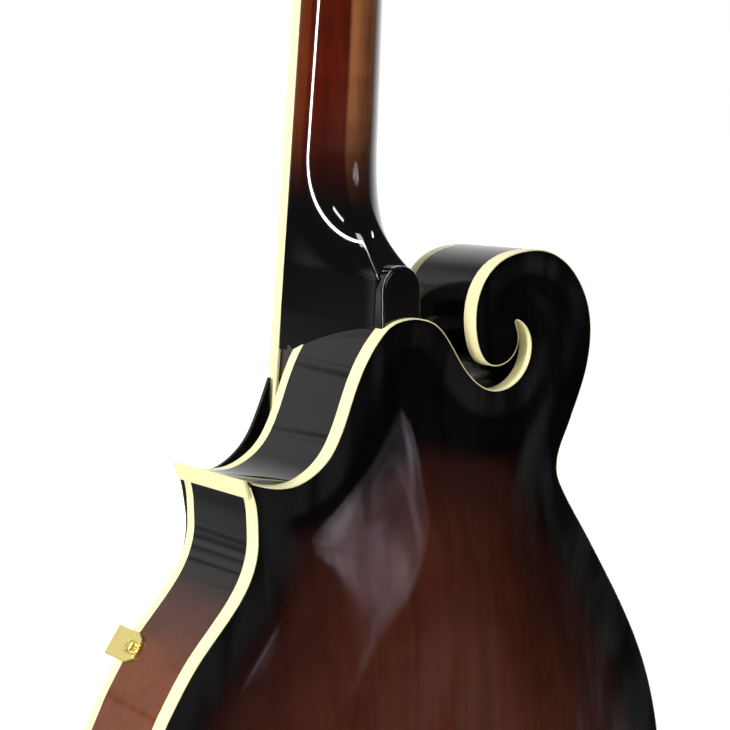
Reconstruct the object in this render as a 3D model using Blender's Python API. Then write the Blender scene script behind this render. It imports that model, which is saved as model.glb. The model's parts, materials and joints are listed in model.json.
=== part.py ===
"""F-style mandolin as separate solids: carved body, neck, tuners, bridge, tailpiece and pickguard.

Units are metres. +Z runs along the neck towards the headstock, the strings face -Y and the
treble side, with the two body points, is +X. The origin lies on the back of the neck at the
nut, where a wall hanger's yoke carries the instrument.
"""

import math

import bmesh
import bpy
import numpy as np
from mathutils import Matrix, Vector
from mathutils.geometry import delaunay_2d_cdt

MM = 0.001

# Fit between glued or seated pieces.
SEAT_GAP = 0.3 * MM

# Strings and neck.
SCALE_LENGTH = 352 * MM
JOINT_FRET = 15
FRET_COUNT = 22
NECK_ANGLE = math.radians(5.5)
NUT_WIDTH = 28.5 * MM
JOINT_WIDTH = 39 * MM
NECK_DEPTH_AT_NUT = 15 * MM
NECK_DEPTH_AT_JOINT = 16 * MM
NECK_ROUNDNESS = 1.6
FRETBOARD_THICKNESS = 5 * MM
FRETBOARD_TAIL = 4.5 * MM
FRETBOARD_LIFT = 4 * MM
FRET_HEIGHT = 1.1 * MM
FRET_WIDTH = 2 * MM
FRETBOARD_BINDING_WIDTH = 1.5 * MM
NUT_LENGTH = 4.5 * MM
NUT_HEIGHT = 7.6 * MM
STRING_ACTION = 1.9 * MM
TRUSS_ROD_RADIUS = 2.4 * MM
TRUSS_ROD_LENGTH = 185 * MM
TRUSS_ROD_DEPTH = 6 * MM
TRUSS_NUT_RADIUS = 3.5 * MM
TRUSS_NUT_LENGTH = 8 * MM
TRUSS_POCKET_MARGIN = 1.5 * MM
TRUSS_POCKET_LENGTH = 18 * MM

# Heel.
HEEL_LENGTH = 58 * MM
HEEL_DEPTH = 41 * MM
HEEL_SCOOP = 4 * MM
HEEL_BOSS_WIDTH = 17 * MM
HEEL_BOSS_HEIGHT = 17.5 * MM
TENON_WIDTH = 13 * MM
TENON_LENGTH = 22 * MM
TENON_MARGIN = 5 * MM

# Headstock.
HEAD_ANGLE = math.radians(13.0)
HEAD_THICKNESS = 14 * MM
HEAD_LENGTH = 158 * MM
HEAD_THROAT_WIDTH = 31 * MM
HEAD_WIDTH = 76 * MM
HEAD_SHOULDER = 30 * MM
VENEER_THICKNESS = 2 * MM
COVER_LENGTH = 32 * MM
COVER_WIDTH = 20 * MM
COVER_THICKNESS = 1.6 * MM

# Tuners.
POST_RADIUS = 3 * MM
POST_CLEARANCE = 0.3 * MM
POST_SPACING = 23 * MM
POST_EDGE_INSET = 15 * MM
FIRST_POST = 45 * MM
POST_STANDOFF = 11 * MM
GEAR_RADIUS = 6 * MM
GEAR_THICKNESS = 3 * MM
WORM_RADIUS = 2.6 * MM
WORM_LENGTH = 10 * MM
SHAFT_RADIUS = 1.5 * MM
KEY_REACH = 33 * MM
KEY_LENGTH = 15 * MM
KEY_WIDTH = 13 * MM
KEY_THICKNESS = 6.5 * MM
TUNER_PLATE_THICKNESS = 1.2 * MM
TUNER_PLATE_WIDTH = 19 * MM
BEARING_THICKNESS = 2 * MM

# Body shell.
BODY_DEPTH = 43 * MM
RIB_THICKNESS = 2.2 * MM
LINING_WIDTH = 4.5 * MM
LINING_HEIGHT = 8 * MM
TOP_BINDING_HEIGHT = 4.4 * MM
BACK_BINDING_HEIGHT = 6.2 * MM
BINDING_WIDTH = 1.6 * MM
POINT_CAP_THICKNESS = 1.5 * MM
TOP_ARCH = 12 * MM
BACK_ARCH = 14.5 * MM
ARCH_RISE = 62 * MM
RECURVE_DEPTH = 0.9 * MM
RECURVE_WIDTH = 16 * MM
PLATE_THICKNESS = 4.2 * MM
PLATE_LEDGE = 9 * MM
PLATE_GRID = 19 * MM
TAIL_BLOCK_DEPTH = 16 * MM
TAIL_BLOCK_WIDTH = 62 * MM
NECK_BLOCK_END = 46 * MM
SCROLL_CORE_MARGIN = 5 * MM
SCROLL_RIB_LAND = 1.4 * MM
POINT_BLOCK_DEPTH = 20 * MM
TONE_BAR_WIDTH = 6 * MM
TONE_BAR_HEIGHT = 9 * MM
TONE_BAR_LENGTH = 210 * MM
FHOLE_LENGTH = 84 * MM
FHOLE_WAIST = 6 * MM
FHOLE_EYE = 5.4 * MM
FHOLE_OFFSET = 65 * MM
FHOLE_LEAN = 9 * MM
FHOLE_SWING = 5.5 * MM

# Bridge.
BRIDGE_LENGTH = 108 * MM
BRIDGE_BASE_WIDTH = 13 * MM
BRIDGE_BASE_HEIGHT = 4.5 * MM
BRIDGE_WING_DROP = 2.2 * MM
BRIDGE_POST_SPREAD = 74 * MM
BRIDGE_POST_RADIUS = 2 * MM
BRIDGE_POST_CLEARANCE = 0.3 * MM
BRIDGE_POST_HEIGHT = 6.5 * MM
THUMBWHEEL_RADIUS = 6.5 * MM
THUMBWHEEL_THICKNESS = 2 * MM
SADDLE_LENGTH = 100 * MM
SADDLE_WIDTH = 7 * MM
SADDLE_CREST_WIDTH = 2.4 * MM
SADDLE_FOOT_HEIGHT = 3 * MM

# Tailpiece, end pin and pickguard.
TAILPIECE_WIDTH = 34 * MM
TAILPIECE_LENGTH = 46 * MM
TAILPIECE_THICKNESS = 1.5 * MM
TAILPIECE_DROP = 33 * MM
TAILPIECE_RISE = 3.5 * MM
TAILPIECE_ANGLE = math.radians(8)
HOOK_PLACE = 26 * MM
HOOK_SPREAD = 24 * MM
HOOK_HEIGHT = 5 * MM
HOOK_WIDTH = 1.2 * MM
HOOK_LENGTH = 2.4 * MM
COVER_WALL = 1 * MM
COVER_HEADROOM = 8 * MM
END_PIN_RADIUS = 6.5 * MM
END_PIN_LENGTH = 14 * MM
END_PIN_SHAFT = 3.2 * MM
PICKGUARD_THICKNESS = 1.8 * MM
PICKGUARD_LEVEL = 8.8 * MM
PICKGUARD_LEAN = 0.099
PICKGUARD_RISE = 0.065
PICKGUARD_INSET = 1.6 * MM
PICKGUARD_SETBACK = 8 * MM
PICKGUARD_CORNER = 1.2 * MM
PICKGUARD_FOOT = 23 * MM
CLAMP_WIDTH = 11 * MM
CLAMP_THICKNESS = 1.2 * MM
CLAMP_DROP = 10.5 * MM
CLAMP_REACH = 19 * MM
CLAMP_ARM_WIDTH = 7 * MM
CLAMP_PLACE = 0.27
CLAMP_SCREW_DROP = 6 * MM
CLAMP_SCREW_RADIUS = 2.4 * MM

# String radii from the high course to the low one, and the gap between two of a course.
STRING_RADII = (0.14 * MM, 0.19 * MM, 0.3 * MM, 0.5 * MM)
COURSE_GAP = 2.4 * MM
NUT_STRING_SPREAD = 20.5 * MM
SADDLE_STRING_SPREAD = 34 * MM

# Facets.
MAX_TURN = math.radians(13)
MAX_STEP = 22 * MM
MIN_STEP = 1.2 * MM
ROUND_SIDES = 12

# Body outline, seen from the front and walked clockwise from the heel: a name where a piece
# starts or ends, x towards the treble side and z above the neck joint in millimetres, and the
# heading of the edge in degrees. A corner has a second heading, for the edge that leaves it.
BODY_ANCHORS = (
    ("heel", -3.0, -0.6, 0),
    ("treble rib start", 9.2, -4.3, -42),
    ("shoulder", 22.1, -22.9, -66),
    ("", 31.2, -42.3, -56),
    ("", 43.5, -51.6, -20),
    ("upper point", 66.4, -48.9, 22, -111),
    ("upper cap end", 64.4, -54.1, -111),
    ("", 62.8, -68.8, -91),
    ("", 69.5, -87.4, -53),
    ("guard end", 85.2, -104.5, -48),
    ("clamp end", 97.8, -121.9, -57),
    ("", 104.0, -133.2, -60),
    ("lower point", 114.5, -150.0, -50, -118),
    ("lower cap end", 111.8, -155.1, -118),
    ("", 110.5, -168.0, -88),
    ("", 118.0, -193.0, -77),
    ("", 121.5, -214.0, -90),
    ("tail", 0.0, -336.0, 180),
    ("", -131.5, -205.0, 90),
    ("", -118.5, -140.8, 66),
    ("", -89.8, -91.9, 57),
    ("waist", -73.6, -67.0, 62),
    ("", -73.5, -54.5, 112),
    ("", -78.6, -44.5, 115),
    ("", -87.3, -24.2, 105),
    ("", -89.1, -11.2, 90),
    ("", -79.8, 11.6, 47),
    ("", -60.0, 20.4, 0),
    ("", -38.8, 13.9, -42),
    ("", -31.5, -3.5, -90),
    ("", -42.0, -20.7, 180),
    ("", -52.4, -11.5, 90),
    ("", -50.9, -5.6, 66),
    ("", -51.9, -4.9, 200),
    ("", -58.4, -14.5, 270),
    ("", -42.8, -29.4, 0),
    ("", -24.0, -16.4, 56),
    ("bass rib end", -9.4, -1.7, 15),
)
ANCHOR_INDEX = {row[0]: index for index, row in enumerate(BODY_ANCHORS) if row[0]}

ARCH_CENTRE = Vector((-4 * MM, -190 * MM))
ARCH_SPAN = Vector((128 * MM, 160 * MM))


# ---------------------------------------------------------------- frames


def fret_distance(number):
    """Distance of a fret from the nut."""
    return SCALE_LENGTH * (1 - 2 ** (-number / 12))


NECK_RUN = fret_distance(JOINT_FRET)
BODY_Y = -NECK_DEPTH_AT_NUT - NECK_RUN * math.sin(NECK_ANGLE) + FRETBOARD_LIFT
BODY_Z = -NECK_RUN * math.cos(NECK_ANGLE)
BODY_FRAME = Matrix.Translation((0, BODY_Y, BODY_Z))
NECK_FRAME = Matrix.Translation((0, -NECK_DEPTH_AT_NUT, 0)) @ Matrix.Rotation(-NECK_ANGLE, 4, "X")
HEAD_FRAME = NECK_FRAME @ Matrix.Rotation(-HEAD_ANGLE, 4, "X")
TO_BODY = BODY_FRAME.inverted() @ NECK_FRAME



def anchor(name):
    """Place of a named point of the body outline."""
    return np.array(BODY_ANCHORS[ANCHOR_INDEX[name]][1:3]) * MM


TAIL_X, TAIL_Z = (float(value) for value in anchor("tail"))
TAIL_FRAME = (BODY_FRAME @ Matrix.Translation((TAIL_X, -TAILPIECE_RISE, TAIL_Z))
              @ Matrix.Rotation(TAILPIECE_ANGLE, 4, "X"))


# ---------------------------------------------------------------- outlines


def heading_vector(degrees):
    """Unit vector of a heading in the (x, z) plane."""
    return np.array((math.cos(math.radians(degrees)), math.sin(math.radians(degrees))))


def arc_between(start, start_heading, end, end_heading):
    """Points of a smooth curve from start up to, and without, end."""
    chord = np.linalg.norm(end - start)
    turn = abs((end_heading - start_heading + 180) % 360 - 180)
    half = math.radians(max(turn, 1)) / 2
    handle = chord * (4 / 3) * math.tan(half / 2) / (2 * math.sin(half))
    inner_start = start + handle * heading_vector(start_heading)
    inner_end = end - handle * heading_vector(end_heading)
    bends = min(math.radians(turn) / MAX_TURN, chord / MIN_STEP)
    count = max(1, math.ceil(max(bends, chord / MAX_STEP)))
    points = []
    for step in range(count):
        t = step / count
        a, b, c, d = (1 - t) ** 3, 3 * t * (1 - t) ** 2, 3 * t * t * (1 - t), t ** 3
        points.append(a * start + b * inner_start + c * inner_end + d * end)
    return points


def body_path(first="heel", last=None):
    """Body outline between two named anchors, or all round when last is left out."""
    count = len(BODY_ANCHORS)
    start_index = ANCHOR_INDEX[first]
    steps = count if last is None else (ANCHOR_INDEX[last] - start_index) % count
    points = []
    for index in range(start_index, start_index + steps):
        here = BODY_ANCHORS[index % count]
        following = BODY_ANCHORS[(index + 1) % count]
        start = np.array(here[1:3]) * MM
        end = np.array(following[1:3]) * MM
        points += arc_between(start, here[-1], end, following[3])
    if last is not None:
        points.append(anchor(last))
    return points


def edge_distance(point, path):
    """Shortest distance from a point to a closed path."""
    starts = np.array(path)
    runs = np.roll(starts, -1, axis=0) - starts
    offsets = point - starts
    share = np.clip((offsets * runs).sum(1) / (runs * runs).sum(1), 0, 1)
    return np.linalg.norm(offsets - share[:, None] * runs, axis=1).min()


def is_inside(point, path):
    """True if a point lies inside a closed path."""
    inside = False
    x, z = point
    for (ax, az), (bx, bz) in zip(path, path[1:] + path[:1]):
        if (az > z) != (bz > z) and x < (bx - ax) * (z - az) / (bz - az) + ax:
            inside = not inside
    return inside


def side_normals(path, closed):
    """Normals to the right of travel, scaled so that an offset keeps its width."""
    pts = np.array(path)
    ahead = np.roll(pts, -1, axis=0) - pts
    behind = pts - np.roll(pts, 1, axis=0)
    if not closed:
        ahead[-1] = behind[-1]
        behind[0] = ahead[0]
    ahead /= np.linalg.norm(ahead, axis=1)[:, None]
    behind /= np.linalg.norm(behind, axis=1)[:, None]
    middle = ahead + behind
    middle /= np.linalg.norm(middle, axis=1)[:, None]
    stretch = np.clip((middle * ahead).sum(1), 0.35, 1)
    return np.stack((middle[:, 1], -middle[:, 0]), axis=1) / stretch[:, None]


def inset(path, width):
    """Closed clockwise path moved inwards, without the loops that sharp corners make."""
    moved = np.array(path) + side_normals(path, True) * width
    kept = [p for p in moved if edge_distance(p, path) > abs(width) * 0.97]
    return kept


def strip(path, outer, inner):
    """Closed outline of the band between two offsets of an open stretch of the body path."""
    whole = body_path()
    normals = side_normals(path, False)
    outside = [p for p in np.array(path) + normals * outer]
    inside = [p for p in np.array(path) + normals * inner if edge_distance(p, whole) > inner * 0.97]
    return outside + inside[::-1]


def clip(path, point, direction):
    """Part of a closed path that lies beyond a line, on the side that direction points to."""
    result = []
    for here, following in zip(path, path[1:] + path[:1]):
        a = np.dot(here - point, direction)
        b = np.dot(following - point, direction)
        if a >= 0:
            result.append(here)
        if (a >= 0) != (b >= 0):
            result.append(here + (following - here) * a / (a - b))
    return result


def circle(x, z, radius, sides=ROUND_SIDES):
    """Round outline."""
    angles = [2 * math.pi * i / sides for i in range(sides)]
    return [np.array((x + radius * math.cos(a), z + radius * math.sin(a))) for a in angles]


def rectangle(x0, x1, z0, z1):
    """Straight-sided outline."""
    return [np.array(p) for p in ((x0, z0), (x1, z0), (x1, z1), (x0, z1))]


# ---------------------------------------------------------------- solids


def material(name, colour, roughness, metallic=0.0):
    """Principled material, made once."""
    found = bpy.data.materials.get(name)
    if found:
        return found
    made = bpy.data.materials.new(name)
    made.use_nodes = True
    shader = made.node_tree.nodes["Principled BSDF"]
    shader.inputs["Base Color"].default_value = (*colour, 1)
    shader.inputs["Roughness"].default_value = roughness
    shader.inputs["Metallic"].default_value = metallic
    made.diffuse_color = (*colour, 1)
    return made


def finish(name, bm, look, frame, smooth=True):
    """Object with outward faces, smooth except at its edges."""
    bmesh.ops.recalc_face_normals(bm, faces=bm.faces)
    mesh = bpy.data.meshes.new(name)
    bm.to_mesh(mesh)
    bm.free()
    if smooth:
        mesh.shade_smooth()
        mesh.set_sharp_from_angle(angle=math.radians(32))
    mesh.materials.append(look)
    obj = bpy.data.objects.new(name, mesh)
    bpy.context.scene.collection.objects.link(obj)
    obj.matrix_world = frame
    return obj


def level(value):
    """Flat surface for a slab."""
    return lambda x, z: value


def slab(name, loops, front, back, look, frame=BODY_FRAME, grid=None):
    """Closed solid between a front and a back surface over an outline with holes."""
    flat = []
    edges = []
    for loop in loops:
        first = len(flat)
        flat += [Vector(p) for p in loop]
        edges += [(first + i, first + (i + 1) % len(loop)) for i in range(len(loop))]
    if grid:
        outer = [tuple(p) for p in loops[0]]
        low = np.min(loops[0], axis=0)
        high = np.max(loops[0], axis=0)
        for row, z in enumerate(np.arange(low[1] + grid / 2, high[1], grid * 0.87)):
            for x in np.arange(low[0] + grid * (0.25 + 0.5 * (row % 2)), high[0], grid):
                spot = np.array((x, z))
                clear = min(edge_distance(spot, loop) for loop in loops)
                if clear > grid * 0.4 and is_inside((x, z), outer):
                    flat.append(Vector(spot))
    verts, _, faces, _, _, _ = delaunay_2d_cdt(flat, edges, [], 1, 1e-7)
    for loop in loops[1:]:
        hole = [tuple(p) for p in loop]
        faces = [face for face in faces if not is_inside(middle_of(verts, face), hole)]
    bm = bmesh.new()
    fronts = [bm.verts.new((p.x, front(p.x, p.y), p.y)) for p in verts]
    backs = [bm.verts.new((p.x, back(p.x, p.y), p.y)) for p in verts]
    borders = {}
    for face in faces:
        bm.faces.new([fronts[i] for i in face])
        bm.faces.new([backs[i] for i in reversed(face)])
        for a, b in zip(face, face[1:] + face[:1]):
            borders[(a, b)] = True
    for a, b in borders:
        if (b, a) not in borders:
            bm.faces.new((fronts[b], fronts[a], backs[a], backs[b]))
    return finish(name, bm, look, frame)


def middle_of(verts, face):
    """Centre of a flat face."""
    return sum(verts[i].x for i in face) / len(face), sum(verts[i].y for i in face) / len(face)


def loft(name, rings, look, frame):
    """Closed solid through rings of points, with flat ends."""
    bm = bmesh.new()
    rows = [[bm.verts.new(p) for p in ring] for ring in rings]
    for low, high in zip(rows, rows[1:]):
        for i in range(len(low)):
            j = (i + 1) % len(low)
            bm.faces.new((low[i], low[j], high[j], high[i]))
    bm.faces.new(rows[0][::-1])
    bm.faces.new(rows[-1])
    return finish(name, bm, look, frame)


def turned(name, profile, look, frame, sides=ROUND_SIDES):
    """Solid turned about local Z from (radius, height) pairs, closed at both ends."""
    rings = []
    for radius, height in profile:
        ring = circle(0, 0, radius, sides)
        rings.append([Vector((p[0], p[1], height)) for p in ring])
    return loft(name, rings, look, frame)


def box(name, low, high, look, frame):
    """Block between two corners."""
    loop = rectangle(low[0], high[0], low[2], high[2])
    return slab(name, [loop], level(low[1]), level(high[1]), look, frame)


def combine(obj, others, operation="DIFFERENCE"):
    """Cut pieces out of a solid, or join them to it, and discard them."""
    for other in others:
        modifier = obj.modifiers.new("shape", "BOOLEAN")
        modifier.operation = operation
        modifier.solver = "EXACT"
        modifier.object = other
        bpy.context.view_layer.update()
        shaped = obj.evaluated_get(bpy.context.evaluated_depsgraph_get())
        mesh = bpy.data.meshes.new_from_object(shaped)
        obj.modifiers.clear()
        obj.data = mesh
        bpy.data.objects.remove(other)
    bm = bmesh.new()
    bm.from_mesh(obj.data)
    bmesh.ops.remove_doubles(bm, verts=bm.verts, dist=0.002 * MM)
    bmesh.ops.dissolve_degenerate(bm, edges=bm.edges, dist=0.002 * MM)
    bm.to_mesh(obj.data)
    bm.free()
    obj.data.shade_smooth()
    obj.data.set_sharp_from_angle(angle=math.radians(32))
    return obj


def rod(name, points, radius, look, frame, sides=6):
    """Thin round bar along a few points."""
    spots = [Vector(p) for p in points]
    rings = []
    for i, spot in enumerate(spots):
        before = (spot - spots[i - 1]).normalized() if i else None
        after = (spots[i + 1] - spot).normalized() if i + 1 < len(spots) else None
        along = ((before or after) + (after or before)).normalized()
        across = along.cross(Vector((1, 0, 0))).normalized()
        side = across.cross(along)
        turn = [2 * math.pi * k / sides for k in range(sides)]
        rings.append([spot + radius * (across * math.cos(a) + side * math.sin(a)) for a in turn])
    return loft(name, rings, look, frame)


# ---------------------------------------------------------------- looks

MAPLE_BURST = material("maple_burst", (0.12, 0.035, 0.018), 0.12)
SPRUCE_BURST = material("spruce_burst", (0.42, 0.15, 0.04), 0.12)
RIB_MAPLE = material("rib_maple", (0.08, 0.03, 0.018), 0.12)
NECK_MAPLE = material("neck_maple", (0.11, 0.03, 0.015), 0.15)
BLOCK_WOOD = material("block_wood", (0.55, 0.38, 0.22), 0.6)
CREAM = material("cream_binding", (0.86, 0.80, 0.55), 0.25)
ROSEWOOD = material("rosewood", (0.05, 0.025, 0.018), 0.45)
BLACK_PLASTIC = material("black_plastic", (0.01, 0.01, 0.01), 0.15)
BONE = material("bone", (0.85, 0.82, 0.72), 0.35)
GOLD = material("gold_plate", (0.85, 0.60, 0.22), 0.18, 1.0)
STEEL = material("steel", (0.62, 0.62, 0.62), 0.3, 1.0)
PEARLOID = material("pearloid", (0.83, 0.82, 0.76), 0.2)
BRONZE = material("bronze_string", (0.70, 0.45, 0.22), 0.3, 1.0)


# ---------------------------------------------------------------- arching


OUTLINE = body_path()
PLATE_LOOP = inset(OUTLINE, BINDING_WIDTH + SEAT_GAP)


def smoothstep(share):
    """Ease from 0 to 1."""
    share = min(max(share, 0), 1)
    return share * share * (3 - 2 * share)


def arch_height(x, z, height):
    """Height of a carved plate above its edge: a shallow recurve, then a broad dome."""
    edge = edge_distance(np.array((x, z)), OUTLINE) - BINDING_WIDTH - SEAT_GAP
    across = (x - ARCH_CENTRE.x) / ARCH_SPAN.x
    along = (z - ARCH_CENTRE.y) / ARCH_SPAN.y
    dome = 1 - 0.3 * min(across * across + along * along, 1)
    rise = height * smoothstep((edge - 4 * MM) / ARCH_RISE) * dome
    dip = RECURVE_DEPTH * smoothstep(edge / RECURVE_WIDTH * 2) * smoothstep(2 - edge / RECURVE_WIDTH)
    return rise - dip


def inner_share(x, z):
    """0 over the ribs and linings, 1 over the open body."""
    edge = edge_distance(np.array((x, z)), OUTLINE)
    return smoothstep((edge - PLATE_LEDGE) / (2 * PLATE_LEDGE))


def top_front(x, z):
    """Outer surface of the top plate."""
    return -arch_height(x, z, TOP_ARCH)


def top_inside(x, z):
    """Inner surface of the top plate, flat where it lies on the ribs."""
    carved = min(top_front(x, z) + PLATE_THICKNESS, TOP_BINDING_HEIGHT)
    return TOP_BINDING_HEIGHT + (carved - TOP_BINDING_HEIGHT) * inner_share(x, z)


def back_outside(x, z):
    """Outer surface of the back plate."""
    return BODY_DEPTH + arch_height(x, z, BACK_ARCH)


def back_inside(x, z):
    """Inner surface of the back plate, flat where it lies on the ribs."""
    ledge = BODY_DEPTH - BACK_BINDING_HEIGHT
    carved = max(back_outside(x, z) - PLATE_THICKNESS, ledge)
    return ledge + (carved - ledge) * inner_share(x, z)


# ---------------------------------------------------------------- body


RIB_FRONT = TOP_BINDING_HEIGHT + SEAT_GAP
RIB_BACK = BODY_DEPTH - BACK_BINDING_HEIGHT - SEAT_GAP
LINED_FRONT = RIB_FRONT + LINING_HEIGHT + SEAT_GAP
LINED_BACK = RIB_BACK - LINING_HEIGHT - SEAT_GAP
END_PIN_DEPTH = (LINED_FRONT + LINED_BACK) / 2
BLOCK_LOOP = inset(OUTLINE, RIB_THICKNESS + SEAT_GAP)


def f_hole(side):
    """S-shaped sound hole with a round eye at each end."""
    steps = 12
    left = []
    right = []
    for i in range(steps + 1):
        t = i / steps
        swing = math.sin((t - 0.5) * 2 * math.pi * 0.72)
        x = side * (FHOLE_OFFSET + FHOLE_LEAN * (2 * t - 1) - FHOLE_SWING * swing)
        z = -BRIDGE_LINE + FHOLE_LENGTH * (0.5 - t)
        eye = abs(2 * t - 1) ** 4
        width = (FHOLE_WAIST + (2 * FHOLE_EYE - FHOLE_WAIST) * eye) / 2
        taper = width * (0.45 if i in (0, steps) else 1)
        left.append(np.array((x - taper, z)))
        right.append(np.array((x + taper, z)))
    return left + right[::-1]


BRIDGE_LINE = (SCALE_LENGTH - NECK_RUN) * math.cos(NECK_ANGLE)


def make_plates():
    """Carved top with its sound holes, and carved back."""
    slab("back_plate", [PLATE_LOOP], back_outside, back_inside, MAPLE_BURST, grid=PLATE_GRID)
    make_top("top_plate", 0)


def make_top(name, shift):
    """The carved top, or a copy moved along the body's depth to shape what sits on it."""
    holes = [f_hole(-1), f_hole(1)]
    frame = BODY_FRAME @ Matrix.Translation((0, shift, 0))
    return slab(name, [PLATE_LOOP] + holes, top_front, top_inside, SPRUCE_BURST, frame, PLATE_GRID)


def make_bindings():
    """Cream edge round the top and the back, and the caps on the two points."""
    ring = [OUTLINE, inset(OUTLINE, BINDING_WIDTH)]
    slab("top_binding", ring, level(0), level(TOP_BINDING_HEIGHT), CREAM)
    slab("back_binding", ring, level(BODY_DEPTH - BACK_BINDING_HEIGHT), level(BODY_DEPTH), CREAM)
    for name, first, last in (
        ("upper_point_cap", "upper point", "upper cap end"),
        ("lower_point_cap", "lower point", "lower cap end"),
    ):
        start = anchor(first)
        end = anchor(last)
        along = (end - start) / np.linalg.norm(end - start)
        outward = np.array((-along[1], along[0]))
        near = outward * SEAT_GAP
        far = outward * (SEAT_GAP + POINT_CAP_THICKNESS)
        lead = heading_vector(BODY_ANCHORS[ANCHOR_INDEX[first]][3])
        slant = lead * (far @ outward) / (lead @ outward)
        loop = [start + slant * SEAT_GAP / (far @ outward), start + slant, end + far, end + near]
        slab(name, [loop], level(0), level(BODY_DEPTH), CREAM)


def lined_rib(name, first, last):
    """Bent side with a lining along its front and its back edge, thin towards its ends."""
    path = trim_path(body_path(first, last))
    front_step = RIB_FRONT + LINING_HEIGHT
    back_step = RIB_BACK - LINING_HEIGHT
    rings = []
    for spot, normal in zip(path, side_normals(path, False)):
        from_end = min(np.linalg.norm(spot - path[0]), np.linalg.norm(spot - path[-1]))
        share = max(smoothstep(from_end / (3 * LINING_WIDTH)), 0.08)
        thick = RIB_THICKNESS + LINING_WIDTH * share
        section = (
            (0, RIB_FRONT), (thick, RIB_FRONT), (thick, front_step), (RIB_THICKNESS, front_step),
            (RIB_THICKNESS, back_step), (thick, back_step), (thick, RIB_BACK), (0, RIB_BACK),
        )
        ring = []
        for width, y in section:
            moved = spot + normal * width
            ring.append(Vector((moved[0], y, moved[1])))
        rings.append(ring)
    return loft(name, rings, RIB_MAPLE, BODY_FRAME)


def trim_path(path):
    """Open path shortened at both ends, so that butted ribs keep a gap."""
    first = path[0] + (path[1] - path[0]) * 2 * SEAT_GAP / np.linalg.norm(path[1] - path[0])
    last = path[-1] + (path[-2] - path[-1]) * 2 * SEAT_GAP / np.linalg.norm(path[-2] - path[-1])
    return [first] + path[1:-1] + [last]


def make_ribs():
    """Four bent sides: round the scroll, the lower bout, and the two short treble ones."""
    scroll = strip(trim_path(body_path("waist", "bass rib end")), 0, RIB_THICKNESS)
    slab("rib_scroll", [scroll], level(RIB_FRONT), level(RIB_BACK), RIB_MAPLE)
    upper = strip(trim_path(body_path("treble rib start", "upper point")), 0, RIB_THICKNESS)
    slab("rib_upper_treble", [upper], level(RIB_FRONT), level(RIB_BACK), RIB_MAPLE)
    lined_rib("rib_between_points", "upper cap end", "lower point")
    lower = lined_rib("rib_lower_bout", "lower cap end", "waist")
    combine(lower, [pin_hole("hole")])


def pin_hole(name):
    """Round cutter for the end pin's shaft."""
    place = Matrix.Translation((TAIL_X, END_PIN_DEPTH, TAIL_Z - 6 * MM))
    radius = END_PIN_SHAFT + SEAT_GAP
    return turned(name, ((radius, 0), (radius, 34 * MM)), STEEL, BODY_FRAME @ place)


def make_blocks():
    """Head block with the scroll core, tail block and the two point blocks."""
    exposed = body_path("bass rib end", "treble rib start")[1:-1]
    shoulder = anchor("treble rib start")
    treble = [p for p in BLOCK_LOOP if p[0] > 0 and -NECK_BLOCK_END < p[1] < shoulder[1]]
    side = anchor("bass rib end")[0] + SCROLL_RIB_LAND
    core_end = anchor("waist")[1] + SCROLL_CORE_MARGIN
    core = [p for p in BLOCK_LOOP if p[0] < side and p[1] > core_end]
    loop = exposed + treble + core
    block = slab("neck_block", [loop], level(RIB_FRONT), level(RIB_BACK), BLOCK_WOOD)
    combine(block, [tenon("socket", SEAT_GAP)])
    tail = clip(BLOCK_LOOP, np.array((0, TAIL_Z + TAIL_BLOCK_DEPTH)), np.array((0, -1)))
    tail = clip(tail, np.array((TAIL_X - TAIL_BLOCK_WIDTH / 2, 0)), np.array((1, 0)))
    tail = clip(tail, np.array((TAIL_X + TAIL_BLOCK_WIDTH / 2, 0)), np.array((-1, 0)))
    block = slab("tail_block", [tail], level(LINED_FRONT), level(LINED_BACK), BLOCK_WOOD)
    combine(block, [pin_hole("hole")])
    for name, point in (("upper_point_block", "upper point"), ("lower_point_block", "lower point")):
        tip = anchor(point)
        depth = POINT_BLOCK_DEPTH
        region = clip(BLOCK_LOOP, tip - (depth, 0), np.array((1, 0)))
        region = clip(region, tip - (0, depth * 0.8), np.array((0, 1)))
        region = clip(region, tip + (0, depth * 0.8), np.array((0, -1)))
        slab(name, [region], level(LINED_FRONT), level(LINED_BACK), BLOCK_WOOD)


def make_tone_bars():
    """Two braces fitted under the top, either side of the bridge."""
    for name, x, lean in (("tone_bar_bass", -30 * MM, 0.10), ("tone_bar_treble", 24 * MM, -0.08)):
        middle = -BRIDGE_LINE - 22 * MM
        half = TONE_BAR_LENGTH / 2
        low = x - lean * half
        high = x + lean * half
        wide = TONE_BAR_WIDTH / 2
        loop = [np.array(p) for p in (
            (low - wide, middle - half), (low + wide, middle - half),
            (high + wide, middle + half), (high - wide, middle + half),
        )]

        def foot(px, pz, middle=middle, half=half):
            share = (pz - middle) / half
            return top_inside(px, pz) + TONE_BAR_HEIGHT * (1 - 0.7 * share * share)

        def crown(px, pz):
            return top_inside(px, pz) - PLATE_THICKNESS / 2

        bar = slab(name, [subdivide(loop, 15 * MM)], crown, foot, BLOCK_WOOD)
        combine(bar, [make_top("seat", SEAT_GAP)])


def subdivide(loop, step):
    """Closed path with extra points along its long straight sides."""
    result = []
    for here, following in zip(loop, loop[1:] + loop[:1]):
        count = max(1, math.ceil(np.linalg.norm(following - here) / step))
        result += [here + (following - here) * i / count for i in range(count)]
    return result


# ---------------------------------------------------------------- neck


def neck_half_width(z):
    """Half the neck's width at a distance below the nut, z being negative."""
    return (NUT_WIDTH + (JOINT_WIDTH - NUT_WIDTH) * min(-z, NECK_RUN) / NECK_RUN) / 2


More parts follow.
